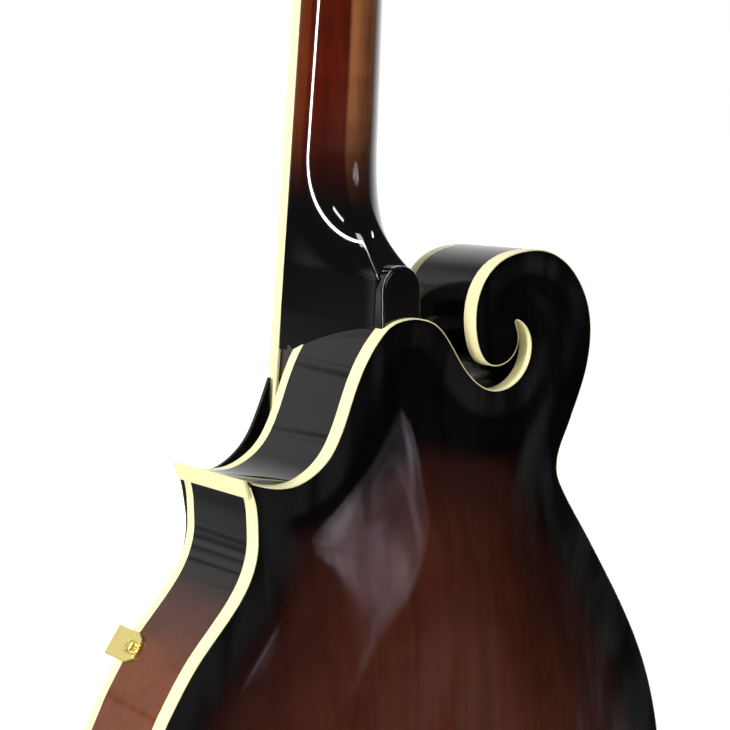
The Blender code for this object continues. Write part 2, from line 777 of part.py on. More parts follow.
def neck_section(z, depth, heel):
    """Half-round section of the neck, or concave section of the heel, or a mixture."""
    width = neck_half_width(z)
    side = 7
    ring = []
    for i in range(2 * side + 1):
        t = math.pi * i / (2 * side)
        sign = 1 if i < side else -1
        cos = abs(math.cos(t)) ** (2 / NECK_ROUNDNESS)
        sin = math.sin(t) ** (2 / NECK_ROUNDNESS)
        share = min(i, 2 * side - i) / side
        boss = HEEL_BOSS_WIDTH / 2
        down = min(share / 0.85, 1)
        flank = (boss + (width - boss) * (1 - down) ** 1.5) * (1 if share <= 0.85 else (1 - share) / 0.15)
        x = (1 - heel) * width * cos + heel * flank
        y = (1 - heel) * depth * sin + heel * depth * down
        ring.append(Vector((sign * x if i != side else 0, y, z)))
    return ring


def heel_rise(z):
    """Depth of the neck at z in the neck's frame: slender, then sweeping out into the heel."""
    along = min(-z, NECK_RUN) / NECK_RUN
    slender = NECK_DEPTH_AT_NUT + (NECK_DEPTH_AT_JOINT - NECK_DEPTH_AT_NUT) * along
    above = z + NECK_RUN - HEEL_BOSS_HEIGHT
    share = 1 - min(max(above / (HEEL_LENGTH - HEEL_BOSS_HEIGHT), 0), 1)
    deep = HEEL_DEPTH + FRETBOARD_LIFT - HEEL_SCOOP
    return slender + (deep - slender) * share ** 3.2, share ** 1.8


def tenon(name, margin):
    """Tongue of the neck that fits the head block, grown by a margin for its socket."""
    half = TENON_WIDTH / 2 + margin
    low = (-half, RIB_FRONT + TENON_MARGIN - margin, -TENON_LENGTH - margin)
    high = (half, RIB_BACK - TENON_MARGIN + margin, 8 * MM)
    return box(name, low, high, BLOCK_WOOD, BODY_FRAME)


def head_outline():
    """Headstock outline, from the nut up: throat, flared shoulders and a soft crown."""
    half = HEAD_WIDTH / 2
    throat = HEAD_THROAT_WIDTH / 2
    anchors = (
        (throat, -1 * MM, 90), (throat, 7 * MM, 90), (half * 0.8, HEAD_SHOULDER * 0.8, 38),
        (half, HEAD_SHOULDER + 12 * MM, 90), (half * 0.97, HEAD_LENGTH - 30 * MM, 92),
        (half * 0.86, HEAD_LENGTH - 12 * MM, 128), (half * 0.52, HEAD_LENGTH - 9 * MM, 180),
        (half * 0.2, HEAD_LENGTH - 3.5 * MM, 150), (0, HEAD_LENGTH, 180),
    )
    right = []
    for here, following in zip(anchors, anchors[1:]):
        right += arc_between(np.array(here[:2]), here[2], np.array(following[:2]), following[2])
    crown = np.array((0, HEAD_LENGTH))
    left = [np.array((-x, z)) for x, z in right[::-1]]
    return right + [crown] + left


def post_places():
    """(name number, x, z) of the eight string posts in the headstock's frame."""
    places = []
    for index in range(8):
        side = -1 if index < 4 else 1
        step = index if index < 4 else 7 - index
        x = side * (HEAD_WIDTH / 2 - POST_EDGE_INSET)
        places.append((index + 1, x, FIRST_POST + step * POST_SPACING))
    return places


def make_neck():
    """Neck with its heel, boss, tenon and headstock in one piece of wood."""
    slender = NECK_RUN - HEEL_LENGTH
    stations = [2 * MM] + [-slender * share for share in (0.08, 0.28, 0.62, 1.0)]
    for share in (0.82, 0.66, 0.52, 0.4, 0.28, 0.16, 0.06, 0.0):
        span = HEEL_LENGTH - HEEL_BOSS_HEIGHT
        stations.append(-NECK_RUN + HEEL_BOSS_HEIGHT + span * share)
    stations += [-NECK_RUN + HEEL_BOSS_HEIGHT / 2, -NECK_RUN - 14 * MM]
    rings = []
    for z in stations:
        depth, heel = heel_rise(z)
        rings.append(neck_section(z, depth, heel))
    neck = loft("neck", rings, NECK_MAPLE, NECK_FRAME)
    arch = [(HEEL_BOSS_WIDTH / 2 * math.cos(a), HEEL_BOSS_HEIGHT - HEEL_BOSS_WIDTH / 2
             + HEEL_BOSS_WIDTH / 2 * math.sin(a)) for a in np.linspace(0, math.pi, 9)]
    arch += [(-HEEL_BOSS_WIDTH / 2, -12 * MM), (HEEL_BOSS_WIDTH / 2, -12 * MM)]
    loop = [np.array(p) for p in arch]
    boss = slab("boss", [loop], level(HEEL_DEPTH * 0.6), level(HEEL_DEPTH), NECK_MAPLE)
    head = slab("head", [head_outline()], level(0), level(HEAD_THICKNESS), NECK_MAPLE, HEAD_FRAME)
    combine(neck, [boss, head], "UNION")
    grown = inset(OUTLINE, -1.5 * SEAT_GAP)
    hull = slab("hull", [grown], level(-1.6 * MM), level(BODY_DEPTH + 30 * MM), STEEL)
    combine(neck, [hull])
    combine(neck, [tenon("tongue", 0)], "UNION")
    bores = [post_bore("bore", x, z) for _, x, z in post_places()]
    channel = rod_channel()
    combine(neck, bores + channel)


def post_bore(name, x, z):
    """Round cutter for one string post."""
    radius = POST_RADIUS + POST_CLEARANCE
    place = HEAD_FRAME @ Matrix.Translation((x, -12 * MM, z)) @ Matrix.Rotation(-math.pi / 2, 4, "X")
    return turned(name, ((radius, 0), (radius, 40 * MM)), STEEL, place)


POCKET_START = NUT_LENGTH + 2 * MM
POCKET_HALF = TRUSS_NUT_RADIUS + TRUSS_POCKET_MARGIN


def rod_channel():
    """Cutters for the truss rod's groove and for the pocket above the nut."""
    half = TRUSS_ROD_RADIUS + SEAT_GAP
    groove = box("groove", (-half, -1 * MM, -TRUSS_ROD_LENGTH - SEAT_GAP),
                 (half, TRUSS_ROD_DEPTH + half, POCKET_START + 2 * MM), STEEL, NECK_FRAME)
    pocket = box("pocket", (-POCKET_HALF, -6 * MM, POCKET_START),
                 (POCKET_HALF, TRUSS_ROD_DEPTH + TRUSS_NUT_RADIUS + SEAT_GAP,
                  POCKET_START + TRUSS_POCKET_LENGTH), STEEL, NECK_FRAME)
    return [groove, pocket]


def make_truss_rod():
    """Steel rod let into the neck, and the brass nut that tightens it."""
    rod_end = POCKET_START + SEAT_GAP
    ends = ((0, TRUSS_ROD_DEPTH, -TRUSS_ROD_LENGTH), (0, TRUSS_ROD_DEPTH, rod_end))
    rod("truss_rod", ends, TRUSS_ROD_RADIUS, STEEL, NECK_FRAME, sides=8)
    start = rod_end + SEAT_GAP
    profile = ((TRUSS_NUT_RADIUS, start), (TRUSS_NUT_RADIUS, start + TRUSS_NUT_LENGTH))
    place = NECK_FRAME @ Matrix.Translation((0, TRUSS_ROD_DEPTH, 0))
    turned("truss_nut", profile, GOLD, place, sides=6)


# ---------------------------------------------------------------- fretboard


FRETBOARD_END = fret_distance(FRET_COUNT) + FRETBOARD_TAIL


def board_half_width(z):
    """Half the bound fretboard's width, which keeps its taper over the body."""
    return (NUT_WIDTH + (JOINT_WIDTH - NUT_WIDTH) * -z / NECK_RUN) / 2


def make_fretboard():
    """Rosewood board with its frets standing proud, and its cream side binding."""
    stations = [(-SEAT_GAP, 0)]
    for number in range(1, FRET_COUNT + 1):
        z = -fret_distance(number)
        stations += [(z + FRET_WIDTH / 2, 0), (z + FRET_WIDTH / 4, FRET_HEIGHT)]
        stations += [(z - FRET_WIDTH / 4, FRET_HEIGHT), (z - FRET_WIDTH / 2, 0)]
    stations.append((-FRETBOARD_END, 0))
    rings = []
    for z, rise in stations:
        half = board_half_width(z) - FRETBOARD_BINDING_WIDTH - SEAT_GAP
        front = -FRETBOARD_THICKNESS - rise - SEAT_GAP
        rings.append([Vector((-half, front, z)), Vector((half, front, z)),
                      Vector((half, -SEAT_GAP, z)), Vector((-half, -SEAT_GAP, z))])
    loft("fretboard", rings, ROSEWOOD, NECK_FRAME)
    end = -FRETBOARD_END - SEAT_GAP
    top = -SEAT_GAP
    outer_end = end - FRETBOARD_BINDING_WIDTH
    inner = FRETBOARD_BINDING_WIDTH
    near, far = board_half_width(top), board_half_width(end)
    loop = [(near, top), (near - inner, top), (far - inner, end), (inner - far, end),
            (inner - near, top), (-near, top), (-far, outer_end), (far, outer_end)]
    points = [np.array(p) for p in loop]
    slab("fretboard_binding", [points], level(-FRETBOARD_THICKNESS - SEAT_GAP), level(-SEAT_GAP),
         CREAM, NECK_FRAME)


def make_nut():
    """Bone nut at the end of the board."""
    half = NUT_WIDTH / 2
    low = (-half, -NUT_HEIGHT, 0)
    high = (half, -SEAT_GAP, NUT_LENGTH)
    box("nut", low, high, BONE, NECK_FRAME)


# ---------------------------------------------------------------- headstock dressing


def make_head_dressing():
    """Black face veneer and the cover over the truss nut."""
    start = NUT_LENGTH + SEAT_GAP
    outline = clip(head_outline(), np.array((0, start)), np.array((0, 1)))
    window = rectangle(-POCKET_HALF, POCKET_HALF, POCKET_START, POCKET_START + TRUSS_POCKET_LENGTH)
    front = -VENEER_THICKNESS - SEAT_GAP
    veneer = slab("headstock_veneer", [outline, window], level(front), level(-SEAT_GAP),
                  BLACK_PLASTIC, HEAD_FRAME)
    combine(veneer, [post_bore("bore", x, z) for _, x, z in post_places()])
    half = COVER_WIDTH / 2
    first = start + 0.5 * MM
    bell = [(-half, first), (half, first), (half, first + 9 * MM), (half * 0.55, first + 15 * MM),
            (half * 0.3, first + COVER_LENGTH), (-half * 0.3, first + COVER_LENGTH),
            (-half * 0.55, first + 15 * MM), (-half, first + 9 * MM)]
    loop = [np.array(p) for p in bell]
    seat = front - SEAT_GAP
    slab("truss_rod_cover", [loop], level(seat - COVER_THICKNESS), level(seat), BLACK_PLASTIC,
         HEAD_FRAME)


def make_tuners():
    """Two plates with four machine heads each: worm shafts with keys, geared string posts."""
    plate_front = HEAD_THICKNESS + SEAT_GAP
    plate_back = plate_front + TUNER_PLATE_THICKNESS
    shaft_y = plate_back + WORM_RADIUS + 2 * SEAT_GAP
    gear_front = shaft_y - GEAR_THICKNESS / 2
    worm_drop = GEAR_RADIUS + WORM_RADIUS + SEAT_GAP
    edge = HEAD_WIDTH / 2 - POST_EDGE_INSET
    for side, label in ((-1, "bass"), (1, "treble")):
        near = side * (edge - TUNER_PLATE_WIDTH / 2)
        far = side * (edge + TUNER_PLATE_WIDTH / 2)
        low_z = FIRST_POST - worm_drop - 5 * MM
        high_z = FIRST_POST + 3 * POST_SPACING + 11 * MM
        loop = rectangle(min(near, far), max(near, far), low_z, high_z)
        holes = [circle(x, z, POST_RADIUS + POST_CLEARANCE) for _, x, z in post_places()
                 if x * side > 0]
        plate = slab("tuner_plate_" + label, [loop] + holes, level(plate_front), level(plate_back),
                     GOLD, HEAD_FRAME)
        bearings = []
        for row in range(4):
            z = FIRST_POST + row * POST_SPACING - worm_drop
            bearings.append(bearing(far - side * BEARING_THICKNESS, plate_back, shaft_y, z))
        combine(plate, bearings, "UNION")
    for number, x, z in post_places():
        side = 1 if x > 0 else -1
        front = -VENEER_THICKNESS - POST_STANDOFF
        profile = (
            (POST_RADIUS * 0.8, front), (POST_RADIUS, front + 1 * MM),
            (POST_RADIUS, gear_front - SEAT_GAP / 2), (GEAR_RADIUS, gear_front),
            (GEAR_RADIUS, gear_front + GEAR_THICKNESS),
        )
        upright = Matrix.Rotation(-math.pi / 2, 4, "X")
        turned(f"string_post_{number}", profile, GOLD,
               HEAD_FRAME @ Matrix.Translation((x, 0, z)) @ upright)
        make_key(number, side, x, shaft_y, z - worm_drop)


def bearing(x, plate_back, shaft_y, z):
    """Standing ear with a hole for a worm shaft."""
    half = BEARING_THICKNESS / 2
    reach = SHAFT_RADIUS + SEAT_GAP
    ear = box("ear", (x - half, plate_back - 0.2 * MM, z - 3 * MM),
              (x + half, shaft_y + 3 * MM, z + 3 * MM), GOLD, HEAD_FRAME)
    place = HEAD_FRAME @ Matrix.Translation((x - 4 * MM, shaft_y, z)) @ Matrix.Rotation(math.pi / 2, 4, "Y")
    hole = turned("hole", ((reach, 0), (reach, 8 * MM)), GOLD, place, sides=8)
    return combine(ear, [hole])


def make_key(number, side, x, y, z):
    """Worm shaft that ends in an oval key, turning about its own length."""
    out = Matrix.Rotation(side * math.pi / 2, 4, "Y")
    place = HEAD_FRAME @ Matrix.Translation((x, y, z)) @ out
    half_worm = WORM_LENGTH / 2
    inner = -half_worm - 3.2 * MM
    profile = (
        (SHAFT_RADIUS, inner), (SHAFT_RADIUS, -half_worm), (WORM_RADIUS, -half_worm + 0.4 * MM),
        (WORM_RADIUS, half_worm - 0.4 * MM), (SHAFT_RADIUS, half_worm), (SHAFT_RADIUS, KEY_REACH - 9 * MM),
    )
    rings = []
    for radius, height in profile:
        rings.append([Vector((p[0], p[1], height)) for p in circle(0, 0, radius, 8)])
    start = KEY_REACH - 9 * MM
    for share, scale in ((0.0, 0.45), (0.2, 0.85), (0.5, 1.0), (0.8, 0.85), (1.0, 0.4)):
        height = start + 0.2 * MM + KEY_LENGTH * share
        ring = circle(0, 0, 1, 8)
        rings.append([Vector((p[0] * KEY_THICKNESS / 2 * scale, p[1] * KEY_WIDTH / 2 * scale, height))
                      for p in ring])
    loft(f"tuner_key_{number}", rings, PEARLOID, place)


# ---------------------------------------------------------------- bridge


BRIDGE_Z = -BRIDGE_LINE
BRIDGE_CREST = top_front(0, BRIDGE_Z)
STRING_BOTTOM = 2 * (FRETBOARD_THICKNESS + SEAT_GAP + FRET_HEIGHT + STRING_ACTION) - NUT_HEIGHT


def make_bridge():
    """Fitted base with two threaded posts, thumbwheels, and the saddle that they carry."""
    half = BRIDGE_LENGTH / 2
    wide = BRIDGE_BASE_WIDTH / 2
    loop = subdivide(rectangle(-half, half, BRIDGE_Z - wide, BRIDGE_Z + wide), 14 * MM)
    base_top = BRIDGE_CREST - BRIDGE_BASE_HEIGHT

    def base_front(x, z):
        return base_top + BRIDGE_WING_DROP * smoothstep((abs(x) / half - 0.75) / 0.2)

    def base_back(x, z):
        return top_front(x, z) + PLATE_THICKNESS / 2

    base = slab("bridge_base", [loop], base_front, base_back, ROSEWOOD)
    combine(base, [make_top("seat", -SEAT_GAP)])
    posts = []
    for side in (-1, 1):
        place = Matrix.Translation((side * BRIDGE_POST_SPREAD / 2, base_top + 1.5 * MM, BRIDGE_Z))
        profile = ((BRIDGE_POST_RADIUS, 0), (BRIDGE_POST_RADIUS, BRIDGE_POST_HEIGHT + 1.5 * MM))
        posts.append(turned("post", profile, STEEL, BODY_FRAME @ place @ TOWARDS_FRONT, sides=10))
    combine(base, posts, "UNION")
    wheel_back = base_top - 2 * SEAT_GAP
    wheel_front = wheel_back - THUMBWHEEL_THICKNESS
    for side, label in ((-1, "bass"), (1, "treble")):
        x = side * BRIDGE_POST_SPREAD / 2
        rim = circle(0, 0, THUMBWHEEL_RADIUS, 16)
        hole = circle(0, 0, BRIDGE_POST_RADIUS + BRIDGE_POST_CLEARANCE, 10)
        centre = (wheel_back + wheel_front) / 2
        half_wheel = THUMBWHEEL_THICKNESS / 2
        slab("thumbwheel_" + label, [rim, hole], level(-half_wheel), level(half_wheel), STEEL,
             BODY_FRAME @ Matrix.Translation((x, centre, BRIDGE_Z)))
    crest = TO_BODY @ Vector((0, -STRING_BOTTOM, -SCALE_LENGTH))
    make_saddle(crest.y + SEAT_GAP, wheel_front - SEAT_GAP)


TOWARDS_FRONT = Matrix.Rotation(math.pi / 2, 4, "X")


def make_saddle(front, back):
    """Narrowing saddle with a round bore over each post."""
    rings = []
    half = SADDLE_LENGTH / 2
    for share in (-1.0, -0.86, 0.0, 0.86, 1.0):
        x = share * half
        drop = 2.2 * MM if abs(share) > 0.9 else 0
        crest = SADDLE_CREST_WIDTH / 2
        foot = SADDLE_WIDTH / 2
        rings.append([
            Vector((x, front + drop, BRIDGE_Z - crest)), Vector((x, front + drop, BRIDGE_Z + crest)),
            Vector((x, back - SADDLE_FOOT_HEIGHT, BRIDGE_Z + foot)), Vector((x, back, BRIDGE_Z + foot)),
            Vector((x, back, BRIDGE_Z - foot)), Vector((x, back - SADDLE_FOOT_HEIGHT, BRIDGE_Z - foot)),
        ])
    saddle = loft("bridge_saddle", rings, ROSEWOOD, BODY_FRAME)
    bores = []
    for side in (-1, 1):
        radius = BRIDGE_POST_RADIUS + BRIDGE_POST_CLEARANCE
        place = Matrix.Translation((side * BRIDGE_POST_SPREAD / 2, back + 1 * MM, BRIDGE_Z))
        profile = ((radius, 0), (radius, BRIDGE_POST_HEIGHT))
        bores.append(turned("bore", profile, STEEL, BODY_FRAME @ place @ TOWARDS_FRONT, sides=10))
    combine(saddle, bores)


# ---------------------------------------------------------------- tailpiece and strings


def make_tailpiece():
    """Bent base plate with string hooks, and the cover that slides off over it."""
    half = TAILPIECE_WIDTH / 2
    wall = TAIL_Z - SEAT_GAP
    thick = TAILPIECE_THICKNESS
    base = box("tailpiece_base", (TAIL_X - half, -TAILPIECE_RISE, wall - thick),
               (TAIL_X + half, TAILPIECE_DROP, wall), GOLD, BODY_FRAME)
    shelf = box("shelf", (-half * 0.999, 0, -thick * 0.8), (half * 0.999, thick, TAILPIECE_LENGTH),
                GOLD, TAIL_FRAME)
    hooks = []
    for index in range(8):
        x = string_x(index, HOOK_SPREAD)
        hooks.append(box("hook", (x - HOOK_WIDTH / 2, -HOOK_HEIGHT, HOOK_PLACE - HOOK_LENGTH),
                         (x + HOOK_WIDTH / 2, thick / 2, HOOK_PLACE), GOLD, TAIL_FRAME))
    combine(base, [shelf] + hooks, "UNION")
    combine(base, [pin_hole("hole")])
    outer = half + COVER_WALL + 2 * SEAT_GAP
    low = -thick - 4 * SEAT_GAP
    high = TAILPIECE_LENGTH + 2 * MM
    cover = box("tailpiece_cover", (-outer, -COVER_HEADROOM, low - COVER_WALL), (outer, 0, high),
                GOLD, TAIL_FRAME)
    hollow = box("hollow", (COVER_WALL - outer, COVER_WALL - COVER_HEADROOM, low),
                 (outer - COVER_WALL, COVER_HEADROOM, high + COVER_WALL), GOLD, TAIL_FRAME)
    combine(cover, [hollow])


def string_x(index, spread):
    """Sideways place of a string: four courses of two across a spread, bass first."""
    course = index // 2
    pair = index % 2 - 0.5
    return spread * (course / 3 - 0.5) + pair * COURSE_GAP


def make_end_pin():
    """Turned strap button whose shaft goes through the tailpiece into the tail block."""
    seat = -TAILPIECE_THICKNESS - 2 * SEAT_GAP
    profile = (
        (END_PIN_SHAFT, 11 * MM), (END_PIN_SHAFT, seat + 0.1 * MM), (END_PIN_RADIUS, seat),
        (END_PIN_RADIUS * 0.95, seat - 1.6 * MM), (END_PIN_RADIUS * 0.6, seat - END_PIN_LENGTH * 0.5),
        (END_PIN_RADIUS, seat - END_PIN_LENGTH * 0.82), (END_PIN_RADIUS * 0.8, seat - END_PIN_LENGTH),
    )
    turned("end_pin", profile, BLACK_PLASTIC, BODY_FRAME @ Matrix.Translation((TAIL_X, END_PIN_DEPTH, TAIL_Z)))


def make_strings():
    """Eight strings from the tailpiece hooks over the saddle and the nut to their posts."""
    posts = {number: (x, z) for number, x, z in post_places()}
    for index in range(8):
        radius = STRING_RADII[3 - index // 2]
        nut_x = string_x(index, NUT_STRING_SPREAD)
        hook = TAIL_FRAME @ Vector((string_x(index, HOOK_SPREAD), -HOOK_HEIGHT * 0.6,
                                    HOOK_PLACE + SEAT_GAP + radius))
        saddle = NECK_FRAME @ Vector((string_x(index, SADDLE_STRING_SPREAD), -STRING_BOTTOM - radius,
                                      -SCALE_LENGTH))
        crest = -NUT_HEIGHT - SEAT_GAP - radius
        nut_near = NECK_FRAME @ Vector((nut_x, crest, 0))
        nut_far = NECK_FRAME @ Vector((nut_x, crest, NUT_LENGTH))
        post_x, post_z = posts[index + 1]
        side = 1 if post_x > 0 else -1
        wrap = POST_RADIUS + radius + SEAT_GAP
        end = HEAD_FRAME @ Vector((post_x - side * wrap, -VENEER_THICKNESS - POST_STANDOFF * 0.55, post_z))
        look = BRONZE if index < 4 else STEEL
        points = [BODY_FRAME.inverted() @ p for p in (hook, saddle, nut_near, nut_far, end)]
        rod(f"string_{index + 1}", points, radius, look, BODY_FRAME, sides=5)


# ---------------------------------------------------------------- pickguard


def guard_back(x, z):
    """Back of the pickguard, a plane that leans down towards the edge and rises to the bridge."""
    return -PICKGUARD_LEVEL + PICKGUARD_LEAN * x + PICKGUARD_RISE * z


def guard_front(x, z):
    """Front of the pickguard."""
    return guard_back(x, z) - PICKGUARD_THICKNESS


def make_pickguard():
    """Raised guard beside the strings, following the body's edge past the upper point."""
    path = body_path("shoulder", "guard end")
    rim = []
    for spot, normal in zip(path, side_normals(path, False)):
        setback = PICKGUARD_SETBACK * smoothstep((-spot[1] - 35 * MM) / (70 * MM))
        width = PICKGUARD_INSET + setback
        moved = spot + normal * width
        if edge_distance(moved, OUTLINE) > width * 0.95:
            rim.append(moved)
    far = board_half_width(-FRETBOARD_END) + SEAT_GAP
    start = [p for p in rim[:-1] if p[0] > far + PICKGUARD_CORNER]
    low = BRIDGE_Z + BRIDGE_BASE_WIDTH
    end = rim[-1]
    corner = np.array((far + 4 * MM, low))
    foot = np.array((far + PICKGUARD_FOOT, low + 4 * MM))
    sweep = arc_between(end, -75, foot, 196) + arc_between(foot, 196, corner, 180)
    inner = [corner, np.array((far, low + 6 * MM)), np.array((far, start[0][1] - PICKGUARD_CORNER))]
    slab("pickguard", [start + sweep + inner], guard_front, guard_back, BLACK_PLASTIC)


def make_clamp():
    """Sheet-metal bracket from the rib to the underside of the pickguard, and its screw."""
    path = body_path("guard end", "clamp end")
    run = path[-1] - path[0]
    spot = path[0] + CLAMP_PLACE * run
    place = (BODY_FRAME @ Matrix.Translation((spot[0], 0, spot[1]))
             @ Matrix.Rotation(-math.atan2(run[1], run[0]) - math.pi / 2, 4, "Y"))
    half = CLAMP_WIDTH / 2
    bend = guard_back(*spot) + SEAT_GAP
    tip = [np.array((CLAMP_DROP - half + half * math.cos(a), half * math.sin(a)))
           for a in np.linspace(-math.pi / 2, math.pi / 2, 9)]
    loop = [np.array((bend, -half))] + tip + [np.array((bend, half))]
    outside = SEAT_GAP + CLAMP_THICKNESS
    leg = slab("pickguard_clamp", [loop], level(-outside), level(-SEAT_GAP), GOLD,
               place @ Matrix.Rotation(math.pi / 2, 4, "Z"))
    along = run / np.linalg.norm(run) * CLAMP_ARM_WIDTH / 2
    away = np.array((-run[1], run[0])) / np.linalg.norm(run)
    root = spot + away * (SEAT_GAP + CLAMP_THICKNESS / 2)
    end = spot - away * CLAMP_REACH
    arm = slab("arm", [[end - along, root - along, root + along, end + along]],
               lambda x, z: guard_back(x, z) + SEAT_GAP,
               lambda x, z: guard_back(x, z) + SEAT_GAP + CLAMP_THICKNESS, GOLD)
    combine(leg, [arm], "UNION")
    head = outside + SEAT_GAP
    profile = ((CLAMP_SCREW_RADIUS, head), (CLAMP_SCREW_RADIUS * 0.7, head + 1.4 * MM))
    seat = place @ Matrix.Translation((0, CLAMP_SCREW_DROP, 0)) @ Matrix.Rotation(math.pi / 2, 4, "Y")
    turned("clamp_screw", profile, GOLD, seat, sides=14)


# ---------------------------------------------------------------- build


def clear_scene():
    """Remove every object that the file starts with."""
    for obj in list(bpy.data.objects):
        bpy.data.objects.remove(obj)


def main():
    """Model every piece."""
    clear_scene()
    make_plates()
    make_bindings()
    make_ribs()
    make_blocks()
    make_tone_bars()
    make_neck()
    make_truss_rod()
    make_fretboard()
    make_nut()
    make_head_dressing()
    make_tuners()
    make_bridge()
    make_tailpiece()
    make_end_pin()
    make_strings()
    make_pickguard()
    make_clamp()


main()
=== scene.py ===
"""Looks of the mandolin: smooth carved body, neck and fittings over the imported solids.

Metres: +Z runs up the neck, the strings face -Y, and the side with the two body points is +X.
Body pieces are drawn in the body's plane, where y = 0 is the front rim and z = 0 the neck joint.
"""

import json
import math

import bmesh
import bpy
import numpy as np
from mathutils import Euler, Matrix, Vector

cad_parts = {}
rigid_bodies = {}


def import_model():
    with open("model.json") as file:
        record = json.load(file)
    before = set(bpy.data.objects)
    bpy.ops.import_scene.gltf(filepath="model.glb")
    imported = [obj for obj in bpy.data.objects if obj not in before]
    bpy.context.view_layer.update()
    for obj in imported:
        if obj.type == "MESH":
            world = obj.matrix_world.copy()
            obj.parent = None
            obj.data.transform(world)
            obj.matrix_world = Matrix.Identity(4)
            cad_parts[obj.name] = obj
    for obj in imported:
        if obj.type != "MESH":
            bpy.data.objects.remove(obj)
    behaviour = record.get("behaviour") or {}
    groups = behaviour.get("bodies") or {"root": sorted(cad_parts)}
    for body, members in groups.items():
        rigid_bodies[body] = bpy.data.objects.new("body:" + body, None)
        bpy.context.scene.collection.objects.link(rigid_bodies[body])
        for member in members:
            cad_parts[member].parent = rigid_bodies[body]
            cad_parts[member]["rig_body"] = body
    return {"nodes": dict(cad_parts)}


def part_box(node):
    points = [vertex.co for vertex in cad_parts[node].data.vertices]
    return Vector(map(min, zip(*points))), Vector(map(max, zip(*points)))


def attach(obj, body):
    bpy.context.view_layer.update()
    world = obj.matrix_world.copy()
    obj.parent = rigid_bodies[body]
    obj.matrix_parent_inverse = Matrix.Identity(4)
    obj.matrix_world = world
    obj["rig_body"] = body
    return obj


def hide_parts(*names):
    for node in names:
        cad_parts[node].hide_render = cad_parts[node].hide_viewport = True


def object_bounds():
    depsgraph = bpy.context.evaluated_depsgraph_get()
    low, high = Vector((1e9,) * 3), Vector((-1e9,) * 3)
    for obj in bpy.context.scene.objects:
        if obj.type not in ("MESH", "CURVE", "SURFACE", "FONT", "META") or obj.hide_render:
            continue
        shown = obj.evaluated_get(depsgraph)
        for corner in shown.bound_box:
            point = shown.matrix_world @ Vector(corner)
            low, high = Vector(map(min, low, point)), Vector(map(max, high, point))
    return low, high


MM = 0.001

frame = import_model()
CAD_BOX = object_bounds()


def at(x, y, z):
    """Shift to a place."""
    return Matrix.Translation((x, y, z))


def fret_distance(number):
    """Distance of a fret from the nut."""
    return SCALE_LENGTH * (1 - 2 ** (-number / 12))


# Turns a part made along its own Z to face the back, or the front.
TO_BACK = Matrix.Rotation(-math.pi / 2, 4, "X")
TO_FRONT = Matrix.Rotation(math.pi / 2, 4, "X")

# Body outline, as the solids have it: name, x and z in millimetres, heading in, and at a point
# the heading out. Headings are in degrees.
BODY_ANCHORS = (
    ("heel", -3.0, -0.6, 0),
    ("treble rib start", 9.2, -4.3, -42),
    ("shoulder", 22.1, -22.9, -66),
    ("", 31.2, -42.3, -56),
    ("", 43.5, -51.6, -20),
    ("upper point", 66.4, -48.9, 22, -111),
    ("upper cap end", 64.4, -54.1, -111),
    ("", 62.8, -68.8, -91),
    ("", 69.5, -87.4, -53),
    ("guard end", 85.2, -104.5, -48),
    ("clamp end", 97.8, -121.9, -57),
    ("", 104.0, -133.2, -60),
    ("lower point", 114.5, -150.0, -50, -118),
    ("lower cap end", 111.8, -155.1, -118),
    ("", 110.5, -168.0, -88),
    ("", 118.0, -193.0, -77),
    ("", 121.5, -214.0, -90),
    ("tail", 0.0, -336.0, 180),
    ("", -131.5, -205.0, 90),
    ("", -118.5, -140.8, 66),
    ("", -89.8, -91.9, 57),
    ("waist", -73.6, -67.0, 62),
    ("", -73.5, -54.5, 112),
    ("", -78.6, -44.5, 115),
    ("", -87.3, -24.2, 105),
    ("", -89.1, -11.2, 90),
    ("", -79.8, 11.6, 47),
    ("", -60.0, 20.4, 0),
    ("", -38.8, 13.9, -42),
    ("", -31.5, -3.5, -90),
    ("", -42.0, -20.7, 180),
    ("", -52.4, -11.5, 90),
    ("", -50.9, -5.6, 66),
    ("", -51.9, -4.9, 200),
    ("", -58.4, -14.5, 270),
    ("", -42.8, -29.4, 0),
    ("", -24.0, -16.4, 56),
    ("bass rib end", -9.4, -1.7, 15),
)
ANCHOR_INDEX = {row[0]: index for index, row in enumerate(BODY_ANCHORS) if row[0]}

# Neck and body frames, from the scale and the two angles.
SCALE_LENGTH = 352 * MM
JOINT_FRET = 15
NECK_ANGLE = math.radians(5.5)
HEAD_ANGLE = math.radians(13)
NECK_DEPTH = 15 * MM
FRETBOARD_LIFT = 4 * MM
NECK_RUN = fret_distance(JOINT_FRET)
RIM_LEVEL = FRETBOARD_LIFT - NECK_DEPTH - NECK_RUN * math.sin(NECK_ANGLE)
BODY_FRAME = at(0, RIM_LEVEL, -NECK_RUN * math.cos(NECK_ANGLE))
NECK_FRAME = at(0, -NECK_DEPTH, 0) @ Matrix.Rotation(-NECK_ANGLE, 4, "X")
HEAD_FRAME = NECK_FRAME @ Matrix.Rotation(-HEAD_ANGLE, 4, "X")

